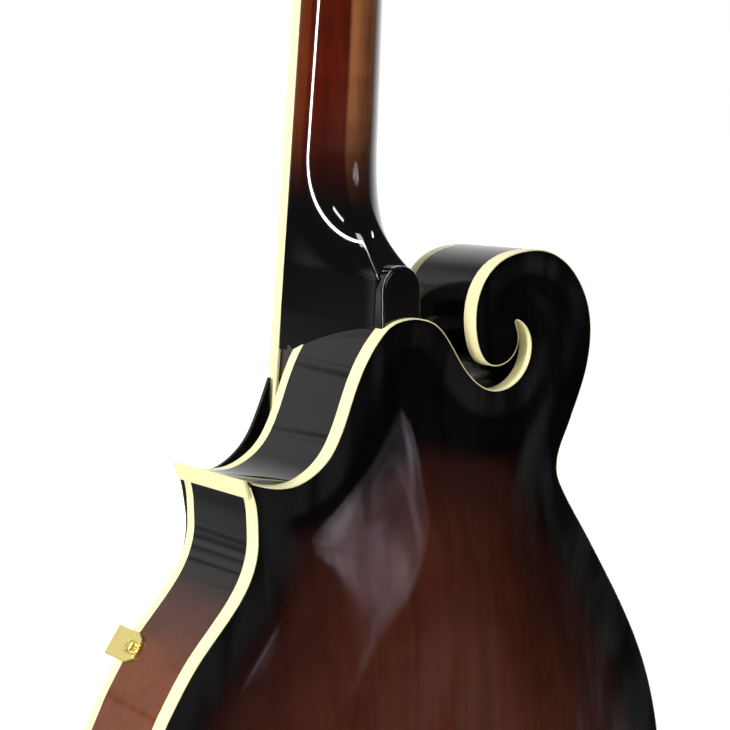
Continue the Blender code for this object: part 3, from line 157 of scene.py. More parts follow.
# Carved plates.
BODY_DEPTH = 43 * MM
BINDING_WIDTH = 1.6 * MM
TOP_BINDING = 4.4 * MM
BACK_BINDING = 6.2 * MM
RIB_THICKNESS = 2.2 * MM
SEAT_GAP = 0.3 * MM
TOP_ARCH = 12 * MM
BACK_ARCH = 14.5 * MM
ARCH_RISE = 62 * MM
RECURVE_DEPTH = 0.9 * MM
RECURVE_WIDTH = 16 * MM
ARCH_CENTRE = (-4 * MM, -190 * MM)
ARCH_SPAN = (128 * MM, 160 * MM)
PLATE_THICKNESS = 4.2 * MM
CREAM_LINE = 0.45 * MM
PLATE_PROUD = 0.08 * MM
PLATE_STEP = 3 * MM
SOFT_POWER = 6
SOFT_LEVEL = math.sqrt(math.pi) * math.gamma((SOFT_POWER - 1) / 2) / math.gamma(SOFT_POWER / 2)
LACQUER_SHELL = 0.6 * MM
RIB_SEAM = 0.04 * MM
FHOLE_LENGTH = 84 * MM
FHOLE_WAIST = 6 * MM
FHOLE_EYE = 5.4 * MM
FHOLE_OFFSET = 65 * MM
FHOLE_LEAN = 9 * MM
FHOLE_SWING = 5.5 * MM
FHOLE_CURL = 0.72
FHOLE_NICK = 0.9 * MM
CUT_REACH = 30 * MM
BRIDGE_LINE = (SCALE_LENGTH - NECK_RUN) * math.cos(NECK_ANGLE)

# Neck, heel and headstock.
NUT_WIDTH = 28.5 * MM
JOINT_WIDTH = 39 * MM
NECK_SWELL = 1 * MM
HEEL_LENGTH = 59.5 * MM
HEEL_DEPTH = 41 * MM
HEEL_SCOOP = 4 * MM
HEEL_CURVE = 2.3
HEEL_BLEND = 3.4
HEEL_FACE = 0.15
HEEL_FOOT = 14 * MM
HEEL_BOSS_WIDTH = 17 * MM
HEEL_BOSS_HEIGHT = 17.5 * MM
RIM_CLEARANCE = -0.25 * MM
HEAD_THICKNESS = 14 * MM
HEAD_LENGTH = 158 * MM
HEAD_THROAT_WIDTH = 31 * MM
HEAD_WIDTH = 76 * MM
HEAD_SHOULDER = 30 * MM
CUT_CREASE = math.radians(50)

# Fretboard and nut.
FRET_COUNT = 22
FRETBOARD_TAIL = 4.5 * MM
FRETBOARD_END = fret_distance(FRET_COUNT) + FRETBOARD_TAIL
FRETBOARD_THICKNESS = 5 * MM
FRETBOARD_BINDING = 1.5 * MM
FRET_HEIGHT = 1.1 * MM
FRET_WIDTH = 2 * MM
DOT_FRETS = (5, 7, 10, 12, 15, 17)
DOUBLE_DOT_FRET = 12
DOT_RADIUS = 2.4 * MM
DOUBLE_DOT_OFFSET = 7 * MM
RISER_INSET = 1.6 * MM
NUT_LENGTH = 4.5 * MM
NUT_HEIGHT = 7.6 * MM
NUT_STRING_SPREAD = 20.5 * MM
STRING_ACTION = 1.9 * MM
STRING_BOTTOM = 2 * (FRETBOARD_THICKNESS + SEAT_GAP + FRET_HEIGHT + STRING_ACTION) - NUT_HEIGHT

# Headstock hardware.
VENEER_THICKNESS = 2 * MM
COVER_THICKNESS = 1.6 * MM
COVER_SCREWS = ((-6.5 * MM, 9 * MM), (6.5 * MM, 9 * MM), (0, 33 * MM))
STRING_COUNT = 8
ROW_COUNT = STRING_COUNT // 2
POST_RADIUS = 3 * MM
POST_GROOVE = POST_RADIUS * 0.8
POST_HOLE = 0.75 * MM
POST_STANDOFF = 11 * MM
POST_SPACING = 23 * MM
POST_ROW = HEAD_WIDTH / 2 - 15 * MM
FIRST_POST = 45 * MM
GEAR_RADIUS = 6 * MM
GEAR_THICKNESS = 3 * MM
GEAR_TEETH = 16
TOOTH_DEPTH = 0.9 * MM
WORM_RADIUS = 2.6 * MM
WORM_LENGTH = 10 * MM
SHAFT_RADIUS = 1.5 * MM
WORM_PITCH = 1.1 * MM
KEY_REACH = 33 * MM
KEY_NECK = 9 * MM
KEY_LENGTH = 15 * MM
KEY_WIDTH = 13 * MM
KEY_THICKNESS = 6.5 * MM
PLATE_BACK = HEAD_THICKNESS + SEAT_GAP + 1.2 * MM
SHAFT_DEPTH = PLATE_BACK + WORM_RADIUS + 2 * SEAT_GAP
WORM_DROP = GEAR_RADIUS + WORM_RADIUS + SEAT_GAP

# Bridge, tailpiece and strings.
BRIDGE_BASE_WIDTH = 13 * MM
BRIDGE_BASE_HEIGHT = 4.5 * MM
BRIDGE_POST_SPREAD = 74 * MM
THUMBWHEEL_RADIUS = 6.5 * MM
THUMBWHEEL_THICKNESS = 2 * MM
THUMBWHEEL_BORE = 2.3 * MM
KNURL_COUNT = 40
KNURL_DEPTH = 0.35 * MM
THREAD_ROOT = 2.04 * MM
THREAD_CREST = 2.06 * MM
THREAD_PITCH = 0.5 * MM
THREAD_ENDS = (-6.4 * MM, 1.2 * MM)
TAIL_Z = -336 * MM
TAIL_SEAT = 3.5 * MM
TAIL_ANGLE = math.radians(8)
TAIL_FRAME = BODY_FRAME @ at(0, -TAIL_SEAT, TAIL_Z) @ Matrix.Rotation(TAIL_ANGLE, 4, "X")
HOOK_PLACE = 26 * MM
HOOK_SPREAD = 24 * MM
HOOK_HEIGHT = 5 * MM
COVER_HEADROOM = 8 * MM
COVER_WALL = 1 * MM
COVER_RIM_INSET = 1.6 * MM
COVER_RIM_HEIGHT = 44 * MM
COVER_RIM_WIDTH = 1.1 * MM
COVER_RIM_CORNER = 4 * MM
COVER_BOSSES = ((-9 * MM, 8 * MM), (9 * MM, 8 * MM), (0, 36 * MM))
SADDLE_STRING_SPREAD = 34 * MM
COURSE_GAP = 2.4 * MM
STRING_RADII = (0.5 * MM, 0.3 * MM, 0.19 * MM, 0.14 * MM)
STRING_TURNS = 3.25
END_PIN_RADIUS = 6.5 * MM
END_PIN_SHANK = 12.6 * MM

# Pickguard and its clamp.
PICKGUARD_THICKNESS = 1.8 * MM
PICKGUARD_LEVEL = 8.8 * MM
PICKGUARD_LEAN = 0.099
PICKGUARD_RISE = 0.065
PICKGUARD_INSET = 1.1 * MM
PICKGUARD_SETBACK = 8 * MM
PICKGUARD_CORNER = 0.2 * MM
PICKGUARD_FOOT = 23 * MM
CLAMP_WIDTH = 11 * MM
CLAMP_THICKNESS = 1.2 * MM
CLAMP_DROP = 10.5 * MM
CLAMP_REACH = 19 * MM
CLAMP_ARM_WIDTH = 7 * MM
CLAMP_PLACE = 0.27
CLAMP_SCREW_DROP = 6 * MM
CLAMP_SCREW_RADIUS = 2.4 * MM

# Fineness of curves, and the face area above which a flat side is shaded flat.
FLAT_AREA = 20 * MM ** 2
OUTLINE_STEP = 1.3 * MM
OUTLINE_TURN = math.radians(3)

# Camera: place, turn in degrees and focal length in millimetres.
CAMERA_PLACE = (0.3759, 0.4764, -0.1379)
CAMERA_TURN = (82.215, 0.337, 142.303)
CAMERA_LENS = 86.3

# Lamps: name, azimuth from behind the body to the treble side, elevation, distance, width,
# height, radiance, and whether they show in reflections.
LAMP_CENTRE = Vector((0, 0, -0.22))
LAMPS = (
    ("strip", 73, 18, 1.6, 0.11, 3.6, 32, True),
    ("spot", -57, 50, 1.6, 0.05, 0.10, 26, True),
    ("overhead", 70, 70, 1.6, 0.5, 1.0, 6.0, True),
    ("fill", 52, 30, 1.8, 0.10, 0.4, 14.0, True),
    ("soft", 82, 2, 1.7, 1.2, 1.2, 1.5, False),
    ("soft front", 200, 15, 1.7, 1.2, 1.2, 1.1, False),
    ("soft back", -25, 25, 1.7, 1.2, 1.2, 0.7, False),
)

# What the object's gloss and shade see: a sweep, a patch in front, a window and a dim room.
SWEEP_SIDE = (-0.62, -0.77, 0.12)
FRONT_SIDE = (0.45, -0.85, 0.28)
FRONT_LIGHT = 0.65
WINDOW_SIDE = (-0.289, 0.944, 0.156)
WINDOW_LIGHT = 2.9
WINDOW_TINT = (1.0, 0.86, 1.0, 1)
TABLE_LIGHT = 0.17
ROOM_LIGHT = 0.04
FLOOR_SIZE = 40
WHITE = (1, 1, 1, 1)


# ---------------------------------------------------------------- outline


def heading_vector(degrees):
    """Unit vector of a heading in the (x, z) plane."""
    return np.array((math.cos(math.radians(degrees)), math.sin(math.radians(degrees))))


def arc_between(start, start_heading, end, end_heading):
    """Points of a smooth curve from start up to, and without, end."""
    chord = np.linalg.norm(end - start)
    turn = abs((end_heading - start_heading + 180) % 360 - 180)
    half = math.radians(max(turn, 1)) / 2
    handle = chord * (4 / 3) * math.tan(half / 2) / (2 * math.sin(half))
    inner_start = start + handle * heading_vector(start_heading)
    inner_end = end - handle * heading_vector(end_heading)
    count = math.ceil(max(math.radians(turn) / OUTLINE_TURN, chord / OUTLINE_STEP))
    t = np.arange(count)[:, None] / count
    return ((1 - t) ** 3 * start + 3 * t * (1 - t) ** 2 * inner_start
            + 3 * t * t * (1 - t) * inner_end + t ** 3 * end)


def round_points(centre, radius, first, last, count):
    """Points round a centre, from one angle to another."""
    angles = np.linspace(first, last, count)
    return np.column_stack((centre[0] + radius * np.cos(angles), centre[1] + radius * np.sin(angles)))


def body_path(first="heel", last=None):
    """Body outline between two named anchors, or all round when last is left out."""
    count = len(BODY_ANCHORS)
    start_index = ANCHOR_INDEX[first]
    steps = count if last is None else (ANCHOR_INDEX[last] - start_index) % count
    stretches = []
    for index in range(start_index, start_index + steps):
        here = BODY_ANCHORS[index % count]
        following = BODY_ANCHORS[(index + 1) % count]
        stretches.append(arc_between(np.array(here[1:3]) * MM, here[-1],
                                     np.array(following[1:3]) * MM, following[3]))
    if last is not None:
        stretches.append(np.array([BODY_ANCHORS[ANCHOR_INDEX[last]][1:3]]) * MM)
    return np.concatenate(stretches)


def edge_distance(points, path):
    """Shortest distance from each point to a closed path."""
    points = np.asarray(points)
    nearest = np.full(len(points), 1.0)
    for start, run in zip(path, np.roll(path, -1, axis=0) - path):
        offset = points - start
        share = np.clip((offset @ run) / (run @ run), 0, 1)
        gap = offset - share[:, None] * run
        nearest = np.minimum(nearest, np.hypot(gap[:, 0], gap[:, 1]))
    return nearest


def side_normals(path, closed):
    """Normals to the right of travel, scaled so that an offset keeps its width."""
    ahead = np.roll(path, -1, axis=0) - path
    behind = path - np.roll(path, 1, axis=0)
    if not closed:
        ahead[-1] = behind[-1]
        behind[0] = ahead[0]
    ahead = ahead / np.linalg.norm(ahead, axis=1)[:, None]
    behind = behind / np.linalg.norm(behind, axis=1)[:, None]
    middle = ahead + behind
    middle /= np.linalg.norm(middle, axis=1)[:, None]
    stretch = np.clip((middle * ahead).sum(1), 0.35, 1)
    return np.stack((middle[:, 1], -middle[:, 0]), axis=1) / stretch[:, None]


def inset(path, width):
    """Closed clockwise path moved inwards, without the loops that sharp corners make."""
    moved = path + side_normals(path, True) * width
    return moved[edge_distance(moved, path) > abs(width) * 0.97]


OUTLINE = body_path()


# ---------------------------------------------------------------- carving


def smoothstep(share):
    """Ease from 0 to 1."""
    share = np.clip(share, 0, 1)
    return share * share * (3 - 2 * share)


def soft_distance(points, path):
    """Distance to a closed path, rounded over where the body's two sides are equally far."""
    points = np.asarray(points)
    total = np.zeros(len(points))
    for start, run in zip(path, np.roll(path, -1, axis=0) - path):
        gap = np.maximum(np.hypot(*(points - start - run / 2).T), 2 * MM)
        total += math.hypot(*run) / gap ** SOFT_POWER
    soft = (total / SOFT_LEVEL) ** (-1 / (SOFT_POWER - 1))
    near = edge_distance(points, path)
    share = smoothstep((near - 6 * MM) / (22 * MM))
    return near + (soft - near) * share


def arch_height(points, height):
    """Height of a carved plate above its edge: a shallow recurve, then a broad dome."""
    points = np.asarray(points)
    edge = soft_distance(points, OUTLINE) - BINDING_WIDTH - SEAT_GAP
    share = (points - ARCH_CENTRE) / ARCH_SPAN
    dome = 1 - 0.3 * np.minimum((share * share).sum(1), 1)
    rise = height * smoothstep((edge - 4 * MM) / ARCH_RISE) * dome
    dip = smoothstep(edge / RECURVE_WIDTH * 2) * smoothstep(2 - edge / RECURVE_WIDTH)
    return rise - RECURVE_DEPTH * dip


# ---------------------------------------------------------------- materials


class Wire:
    """One output in a material's node tree, used in plain arithmetic."""

    def __init__(self, socket):
        self.socket = socket

    def node(self, kind, inputs, output=0, **settings):
        """New node in the same tree, fed from wires or plain values."""
        made = self.socket.id_data.nodes.new(kind)
        for key, value in settings.items():
            setattr(made, key, value)
        for key, value in inputs.items():
            if isinstance(value, Wire):
                made.id_data.links.new(value.socket, made.inputs[key])
            else:
                made.inputs[key].default_value = value
        return Wire(made.outputs[output])

    def math(self, operation, first, second=0.0):
        """Sum on two values."""
        return self.node("ShaderNodeMath", {0: first, 1: second}, operation=operation)

    def __add__(self, other):
        return self.math("ADD", self, other)

    def __radd__(self, other):
        return self.math("ADD", other, self)

    def __sub__(self, other):
        return self.math("SUBTRACT", self, other)

    def __rsub__(self, other):
        return self.math("SUBTRACT", other, self)

    def __mul__(self, other):
        return self.math("MULTIPLY", self, other)

    def __rmul__(self, other):
        return self.math("MULTIPLY", other, self)

    def __truediv__(self, other):
        return self.math("DIVIDE", self, other)

    def ease(self, low, high):
        """0 at low, 1 at high, with soft ends."""
        return self.node("ShaderNodeMapRange", {"Value": self, "From Min": low, "From Max": high},
                         interpolation_type="SMOOTHSTEP")

    def mix(self, low, high):
        """Colour from low to high as the value goes from 0 to 1."""
        return self.node("ShaderNodeMix", {0: self, 6: low, 7: high}, 2, data_type="RGBA")

    def stretch(self, x, y, z):
        """Coordinates with each axis scaled."""
        return self.node("ShaderNodeVectorMath", {0: self, 1: (x, y, z)}, operation="MULTIPLY")

    def towards(self, direction, low, high):
        """0 to 1 as a heading turns towards a direction, low and high being cosines."""
        facing = self.node("ShaderNodeVectorMath", {0: self, 1: direction}, "Value",
                           operation="DOT_PRODUCT")
        return facing.ease(low, high)

    def noise(self, scale, detail=2.0, distortion=0.0):
        """Cloudy value from 0 to 1 over coordinates."""
        inputs = {"Vector": self, "Scale": scale, "Detail": detail, "Distortion": distortion}
        return self.node("ShaderNodeTexNoise", inputs)

    def bump(self, depth, strength=1.0):
        """Normal from a height between 0 and 1 that stands for depth metres."""
        return self.node("ShaderNodeBump", {"Height": self, "Distance": depth, "Strength": strength})


def new_material(name, **values):
    """Principled material with its even values set, and a wire of object coordinates."""
    made = bpy.data.materials.new(name)
    made.use_nodes = True
    shader = made.node_tree.nodes["Principled BSDF"]
    for key, value in values.items():
        shader.inputs[key.replace("_", " ").title().replace("Ior", "IOR")].default_value = value
    coordinates = made.node_tree.nodes.new("ShaderNodeTexCoord")
    return made, Wire(coordinates.outputs["Object"])


def wire_up(made, **wires):
    """Feed the shader's inputs."""
    shader = made.node_tree.nodes["Principled BSDF"]
    for key, wire in wires.items():
        made.node_tree.links.new(wire.socket, shader.inputs[key.replace("_", " ").title()])
    return made


def rgb(red, green, blue):
    """Linear colour from the 0 to 255 values of a screen colour."""
    return tuple(((value / 255 + 0.055) / 1.055) ** 2.4 if value > 10 else value / 255 / 12.92
                 for value in (red, green, blue)) + (1.0,)


def attribute(place, name):
    """Wire of a value stored on the mesh."""
    return place.node("ShaderNodeAttribute", {}, "Fac", attribute_name=name)


def grained(place, colour, darker):
    """Stained maple: fine streaks along Z and faint cross flames."""
    grain = place.stretch(1, 1, 0.035).noise(330, 5, 0.3)
    streak = place.stretch(1, 1, 0.02).noise(75, 3)
    flame = place.stretch(0.25, 0.25, 1).noise(60, 2, 0.6)
    return (grain * 0.4 + streak * 0.35 + flame * 0.25).ease(0.32, 0.66).mix(darker, colour)


def glossed(made, place, colour, wave=0.03 * MM):
    """Deep gloss with long shallow ripples."""
    ripple = place.stretch(1, 1, 0.22).noise(52, 2, 0.4) * 0.7 + place.noise(14, 1) * 0.3
    return wire_up(made, base_color=colour, normal=ripple.bump(wave, 1.0))


def lacquered_wood(name, tones, rim=None, wave=0.08 * MM, clear=1.0):
    """Burst of stained wood: (burst value, colour, darker grain) from the dark rim inwards.

    A clear below 1 leaves dull streaks in the coat, along the grain.
    """
    made, place = new_material(name, roughness=0.06, specular_ior_level=0.0, coat_weight=1.0,
                               coat_roughness=0.06)
    uneven = (place.stretch(1, 1, 0.4).noise(18, 2) - 0.5) * 0.1
    burst = attribute(place, "burst") + uneven
    colour = rim or BLACK
    low = tones[0][0]
    for high, tone, darker in tones[1:]:
        wood = grained(place, tone, darker)
        colour = burst.ease(low, high).mix(colour, wood)
        low = high
    if clear < 1:
        smear = place.stretch(1, 0.3, 0.22).noise(62, 2, 0.5).ease(0.38, 0.62)
        wire_up(made, coat_weight=smear * (1 - clear) + clear)
    return glossed(made, place, colour, wave)


def neck_wood(name):
    """Neck: stained red-brown shoulders, and a lighter tone along the back's middle and by the board."""
    made, place = new_material(name, roughness=0.055, specular_ior_level=0.5, coat_weight=1.0)
    sides = grained(place, rgb(98, 44, 20), rgb(78, 28, 8))
    shoulder = grained(place, rgb(88, 22, 3), rgb(58, 11, 1))
    middle = grained(place, rgb(150, 96, 56), rgb(104, 56, 27))
    wood = attribute(place, "middle").mix(shoulder, middle)
    wood = attribute(place, "side").mix(wood, sides)
    return glossed(made, place, attribute(place, "burst").mix(BLACK, wood))


def plain(name, colour, other, roughness, metallic=0.0, scale=400, depth=0.02 * MM):
    """Material with a fine variation between two near colours."""
    made, place = new_material(name, metallic=metallic)
    speck = place.noise(scale, 4)
    shine = place.noise(scale * 0.2, 3).ease(0.3, 0.7) * (roughness * 0.4) + roughness * 0.8
    return wire_up(made, base_color=speck.mix(colour, other), roughness=shine,
                   normal=speck.bump(depth, 0.3))


BLACK = (0.0016, 0.0013, 0.0015, 1)
BACK_LACQUER = lacquered_wood("back_lacquer", (
    (9,), (27, rgb(52, 24, 18), rgb(42, 18, 13)), (50, rgb(74, 36, 24), rgb(58, 26, 17)),
    (82, rgb(92, 45, 26), rgb(72, 33, 18))), wave=0.4 * MM, clear=0.2)
TOP_LACQUER = lacquered_wood("top_lacquer", (
    (8,), (26, rgb(110, 44, 14), rgb(92, 34, 10)), (60, rgb(205, 124, 44), rgb(188, 106, 34)),
    (95, rgb(226, 158, 72), rgb(212, 142, 60))), rgb(24, 12, 8))
RIB_LACQUER = lacquered_wood("rib_lacquer", (
    (0,), (0.5, rgb(76, 36, 22), rgb(60, 26, 15)), (1, rgb(108, 54, 22), rgb(86, 39, 14))))
NECK_LACQUER = neck_wood("neck_lacquer")
CREAM = plain("cream_binding_look", (0.97, 0.91, 0.52, 1), (0.93, 0.86, 0.46, 1), 0.22)
ROSEWOOD = plain("rosewood_look", (0.06, 0.028, 0.018, 1), (0.03, 0.014, 0.010, 1), 0.45)
BLACK_PLASTIC = plain("black_plastic_look", (0.006, 0.006, 0.006, 1), (0.009, 0.009, 0.009, 1), 0.12)
BONE = plain("bone_look", (0.90, 0.87, 0.77, 1), (0.84, 0.80, 0.68, 1), 0.3)
GOLD = plain("gold_plate_look", (1.0, 0.87, 0.33, 1), (0.97, 0.80, 0.26, 1), 0.26, 0.8,
             depth=0.006 * MM)
STEEL = plain("steel_look", (0.62, 0.62, 0.62, 1), (0.55, 0.55, 0.56, 1), 0.28, 1.0)
PEARLOID = plain("pearloid_look", (0.95, 0.94, 0.89, 1), (0.80, 0.81, 0.80, 1), 0.18)
BRONZE = plain("bronze_look", (0.72, 0.45, 0.20, 1), (0.60, 0.36, 0.16, 1), 0.3, 1.0)
BARE_WOOD = plain("bare_wood_look", (0.58, 0.40, 0.22, 1), (0.48, 0.31, 0.16, 1), 0.6)


# ---------------------------------------------------------------- meshes


def face_of(path, y=0.0):
    """Mesh of one flat face with a given outline in the (x, z) plane."""
    bm = bmesh.new()
    bm.faces.new([bm.verts.new((x, y, z)) for x, z in path])
    return bm


def pull(bm, faces, offset):
    """Pull faces of a mesh out by an offset."""
    pulled = bmesh.ops.extrude_face_region(bm, geom=faces)["geom"]
    moved = [part for part in pulled if isinstance(part, bmesh.types.BMVert)]
    bmesh.ops.translate(bm, verts=moved, vec=offset)
    bmesh.ops.recalc_face_normals(bm, faces=bm.faces)


def thicken(bm, depth):
    """Pull the faces of a flat mesh into a plate, depth along +y."""
    pull(bm, bm.faces[:], (0, depth, 0))
    return bm


def box(low, high):
    """Mesh of a block between two corners."""
    bm = bmesh.new()
    bmesh.ops.create_cube(bm, size=1)
    low, high = Vector(low), Vector(high)
    bm.transform(Matrix.Translation((low + high) / 2) @ Matrix.Diagonal(high - low).to_4x4())
    return bm


def soften(bm, radius, segments=2, sharp=32):
    """Round the edges that are sharper than an angle."""
    edges = [e for e in bm.edges if len(e.link_faces) == 2 and e.calc_face_angle() > math.radians(sharp)]
    bmesh.ops.bevel(bm, geom=edges, offset=radius, segments=segments, profile=0.5, material=-1,
                    affect="EDGES", clamp_overlap=True)
    return bm


def band(path, low, high, front, back, closed, radius=0.0):
    """Strip along a path, between two insets and two depths."""
    bm = bmesh.new()
    normals = side_normals(path, closed)
    rows = [[bm.verts.new((x, front, z)) for x, z in path + normals * width] for width in (low, high)]
    for row in rows:
        for a, b in zip(row, row[1:] + (row[:1] if closed else [])):
            bm.edges.new((a, b))
    bmesh.ops.bridge_loops(bm, edges=bm.edges[:])
    thicken(bm, back - front)
    return soften(bm, radius) if radius else bm


def loft(rings):
    """Skin through rings with the same number of points, closed at both ends."""
    bm = bmesh.new()
    ring = [bm.verts.new(p) for p in rings[0]]
    edges = [bm.edges.new((a, b)) for a, b in zip(ring, ring[1:] + ring[:1])]
    bmesh.ops.contextual_create(bm, geom=edges)
    for points in rings[1:]:
        place = {vert: Vector(p) for vert, p in zip(ring, points)}
        pulled = bmesh.ops.extrude_edge_only(bm, edges=edges)["geom"]
        edges = [part for part in pulled if isinstance(part, bmesh.types.BMEdge)]
        twins = {}
        for vert in (part for part in pulled if isinstance(part, bmesh.types.BMVert)):
            source = next(e.other_vert(vert) for e in vert.link_edges if e.other_vert(vert) in place)
            vert.co = place[source]
            twins[source] = vert
        ring = [twins[vert] for vert in ring]
    bmesh.ops.contextual_create(bm, geom=edges)
    bmesh.ops.recalc_face_normals(bm, faces=bm.faces)
    return bm


def turned(profile, segments=48):
    """Body turned about local Z from (radius, height) pairs, its ends closed."""
    bm = bmesh.new()
    spots = [bm.verts.new((radius, 0, height)) for radius, height in profile]
    edges = [bm.edges.new(pair) for pair in zip(spots, spots[1:])]
    bmesh.ops.spin(bm, geom=spots + edges, axis=(0, 0, 1), cent=(0, 0, 0), angle=2 * math.pi,
                   steps=segments, use_merge=True)
    bmesh.ops.remove_doubles(bm, verts=bm.verts, dist=0.001 * MM)
    bmesh.ops.holes_fill(bm, edges=bm.edges[:])
    bmesh.ops.recalc_face_normals(bm, faces=bm.faces)
    return bm


def stand(name, data):
    """Object in the scene."""
    obj = bpy.data.objects.new(name, data)
    bpy.context.scene.collection.objects.link(obj)
    return obj


def shaped(name, bm):
    """Object in the scene with a finished mesh, the bmesh being used up."""
    mesh = bpy.data.meshes.new(name)
    bm.to_mesh(mesh)
    bm.free()
    return stand(name, mesh)


def piece(name, bm, look, node=None, body="instrument", place=BODY_FRAME, sharp=35, flat=False):
    """Object that rides on a body and may stand for a CAD node.

    With flat, large faces are shaded flat, and only the small ones round their edges are smooth.
    """
    bm.transform(place)
    obj = shaped(name, bm)
    mesh = obj.data
    mesh.shade_smooth()
    mesh.set_sharp_from_angle(angle=math.radians(sharp))
    mesh.materials.append(look)
    if flat:
        for face in mesh.polygons:
            face.use_smooth = face.area < FLAT_AREA
    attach(obj, body)
    if node:
        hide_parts(node)
    return obj


def body_of(node):
    """Name of the body that a CAD node rides on."""
    return frame["nodes"][node]["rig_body"]


def middle_of(node):
    """Middle of a CAD node's box."""
    low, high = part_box(node)
    return (Vector(low) + Vector(high)) / 2


def eased(node, look, radius, segments=2, sharp=25):
    """Copy of a CAD node with its edges rounded, in the node's place."""
    bm = bmesh.new()
    bm.from_mesh(frame["nodes"][node].data)
    bmesh.ops.remove_doubles(bm, verts=bm.verts, dist=0.002 * MM)
    bmesh.ops.dissolve_limit(bm, angle_limit=math.radians(1), verts=bm.verts, edges=bm.edges)
    bmesh.ops.recalc_face_normals(bm, faces=bm.faces)
    soften(bm, radius, segments, sharp)
    return piece(node + "_look", bm, look, node, body_of(node), Matrix.Identity(4), flat=True)


def store(obj, name, values):
    """Keep one value for each vertex, for the material to read."""
    layer = obj.data.attributes.new(name, "FLOAT", "POINT")
    layer.data.foreach_set("value", np.asarray(values, np.float32))


def corners(obj, place=BODY_FRAME):
    """Vertices of an object in a frame, as rows of x, y, z."""
    rows = np.empty(len(obj.data.vertices) * 3)
    obj.data.vertices.foreach_get("co", rows)
    back = np.array(place.inverted())
    return rows.reshape(-1, 3) @ back[:3, :3].T + back[:3, 3]


# ---------------------------------------------------------------- body


def crossed(path, step):
    """Flat sheet with an outline, cut both ways into small squares."""
    bm = face_of(path)
    for axis in (0, 2):
        low, high = path[:, axis // 2].min(), path[:, axis // 2].max()
        normal = Vector((axis == 0, 0, axis == 2))
        for place in np.arange(low + step / 2, high, step):
            bmesh.ops.bisect_plane(bm, geom=bm.verts[:] + bm.edges[:] + bm.faces[:],
                                   dist=0.0001 * MM, plane_co=normal * place, plane_no=normal)
    return bm


def carve(bm, height, level, sign):
    """Give a flat sheet the arch of a carved plate."""
    spots = np.array([(v.co.x, v.co.z) for v in bm.verts])
    for vert, rise in zip(bm.verts, arch_height(spots, height)):
        vert.co.y = level + sign * rise


def store_burst(obj):
    """Keep how far each spot of a plate is from the dark rim, in millimetres; the scroll stays dark."""
    rows = corners(obj)[:, [0, 2]]
    dark = 30 * smoothstep((rows[:, 1] + 80 * MM) / (70 * MM))
    store(obj, "burst", soft_distance(rows, OUTLINE) / MM - dark)


def bare_inside(obj, facing):
    """Leave the faces that look into the body unfinished; facing is -1 or 1 along Y."""
    obj.data.materials.append(BARE_WOOD)
    for face in obj.data.polygons:
        face.material_index = int(face.normal.y * facing > 0.5)


def make_back():
    """Carved back whose lacquer runs out over the binding to a fine cream line."""
    bm = crossed(inset(OUTLINE, CREAM_LINE), PLATE_STEP)
    carve(bm, BACK_ARCH, BODY_DEPTH + PLATE_PROUD, 1)
    thicken(bm, -LACQUER_SHELL)
    back = piece("back_plate_look", bm, BACK_LACQUER, "back_plate", sharp=60)
    bare_inside(back, -1)
    store_burst(back)


def f_hole(side):
    """Outlines of an S-shaped sound hole: a waisted stroke and the round eyes at its ends."""
    t = np.linspace(0, 1, 49)
    swing = np.sin((t - 0.5) * 2 * math.pi * FHOLE_CURL)
    x = side * (FHOLE_OFFSET + FHOLE_LEAN * (2 * t - 1) - FHOLE_SWING * swing)
    z = -BRIDGE_LINE + FHOLE_LENGTH * (0.5 - t)
    width = FHOLE_WAIST * (0.5 - 0.28 * np.abs(2 * t - 1) ** 2.5) + FHOLE_NICK * (np.abs(t - 0.5) < 0.02)
    stroke = np.concatenate((np.stack((x - width, z), 1), np.stack((x + width, z), 1)[::-1]))
    curl = side * FHOLE_EYE * 0.55
    eyes = [round_points(centre, FHOLE_EYE, 0, 2 * math.pi, 33)[:-1]
            for centre in ((x[3] - curl, z[3]), (x[-4] + curl, z[-4]))]
    return [stroke] + eyes


def cut(obj, bm, place=BODY_FRAME):
    """Cut a closed shape, given in a frame, out of an object."""
    bm.transform(place)
    cutter = shaped("cutter", bm)
    modifier = obj.modifiers.new("hole", "BOOLEAN")
    modifier.solver = "EXACT"
    modifier.object = cutter
    bpy.context.view_layer.update()
    solved = obj.evaluated_get(bpy.context.evaluated_depsgraph_get())
    left = bpy.data.meshes.new_from_object(solved)
    obj.modifiers.clear()
    obj.data = left
    bpy.data.objects.remove(cutter)


def make_top():
    """Carved top with its two sound holes."""
    bm = crossed(inset(OUTLINE, BINDING_WIDTH + 0.02 * MM), PLATE_STEP)
    carve(bm, TOP_ARCH, 0, -1)
    thicken(bm, PLATE_THICKNESS)
    top = piece("top_plate_look", bm, TOP_LACQUER, "top_plate", sharp=60)
    for side in (-1, 1):
        for path in f_hole(side):
            cut(top, thicken(face_of(path, -CUT_REACH), 2 * CUT_REACH))
    bare_inside(top, 1)
    store_burst(top)


def make_bindings():
    """Cream edges round the top and the back, and the caps on the two points."""
    for name, front, back in (("top_binding", 0, TOP_BINDING),
                              ("back_binding", BODY_DEPTH - BACK_BINDING, BODY_DEPTH)):
        shape = band(OUTLINE, 0, BINDING_WIDTH, front, back, True, 0.25 * MM)
        piece(name + "_look", shape, CREAM, name)
    for name in ("upper_point_cap", "lower_point_cap"):
        eased(name, CREAM, 0.25 * MM)


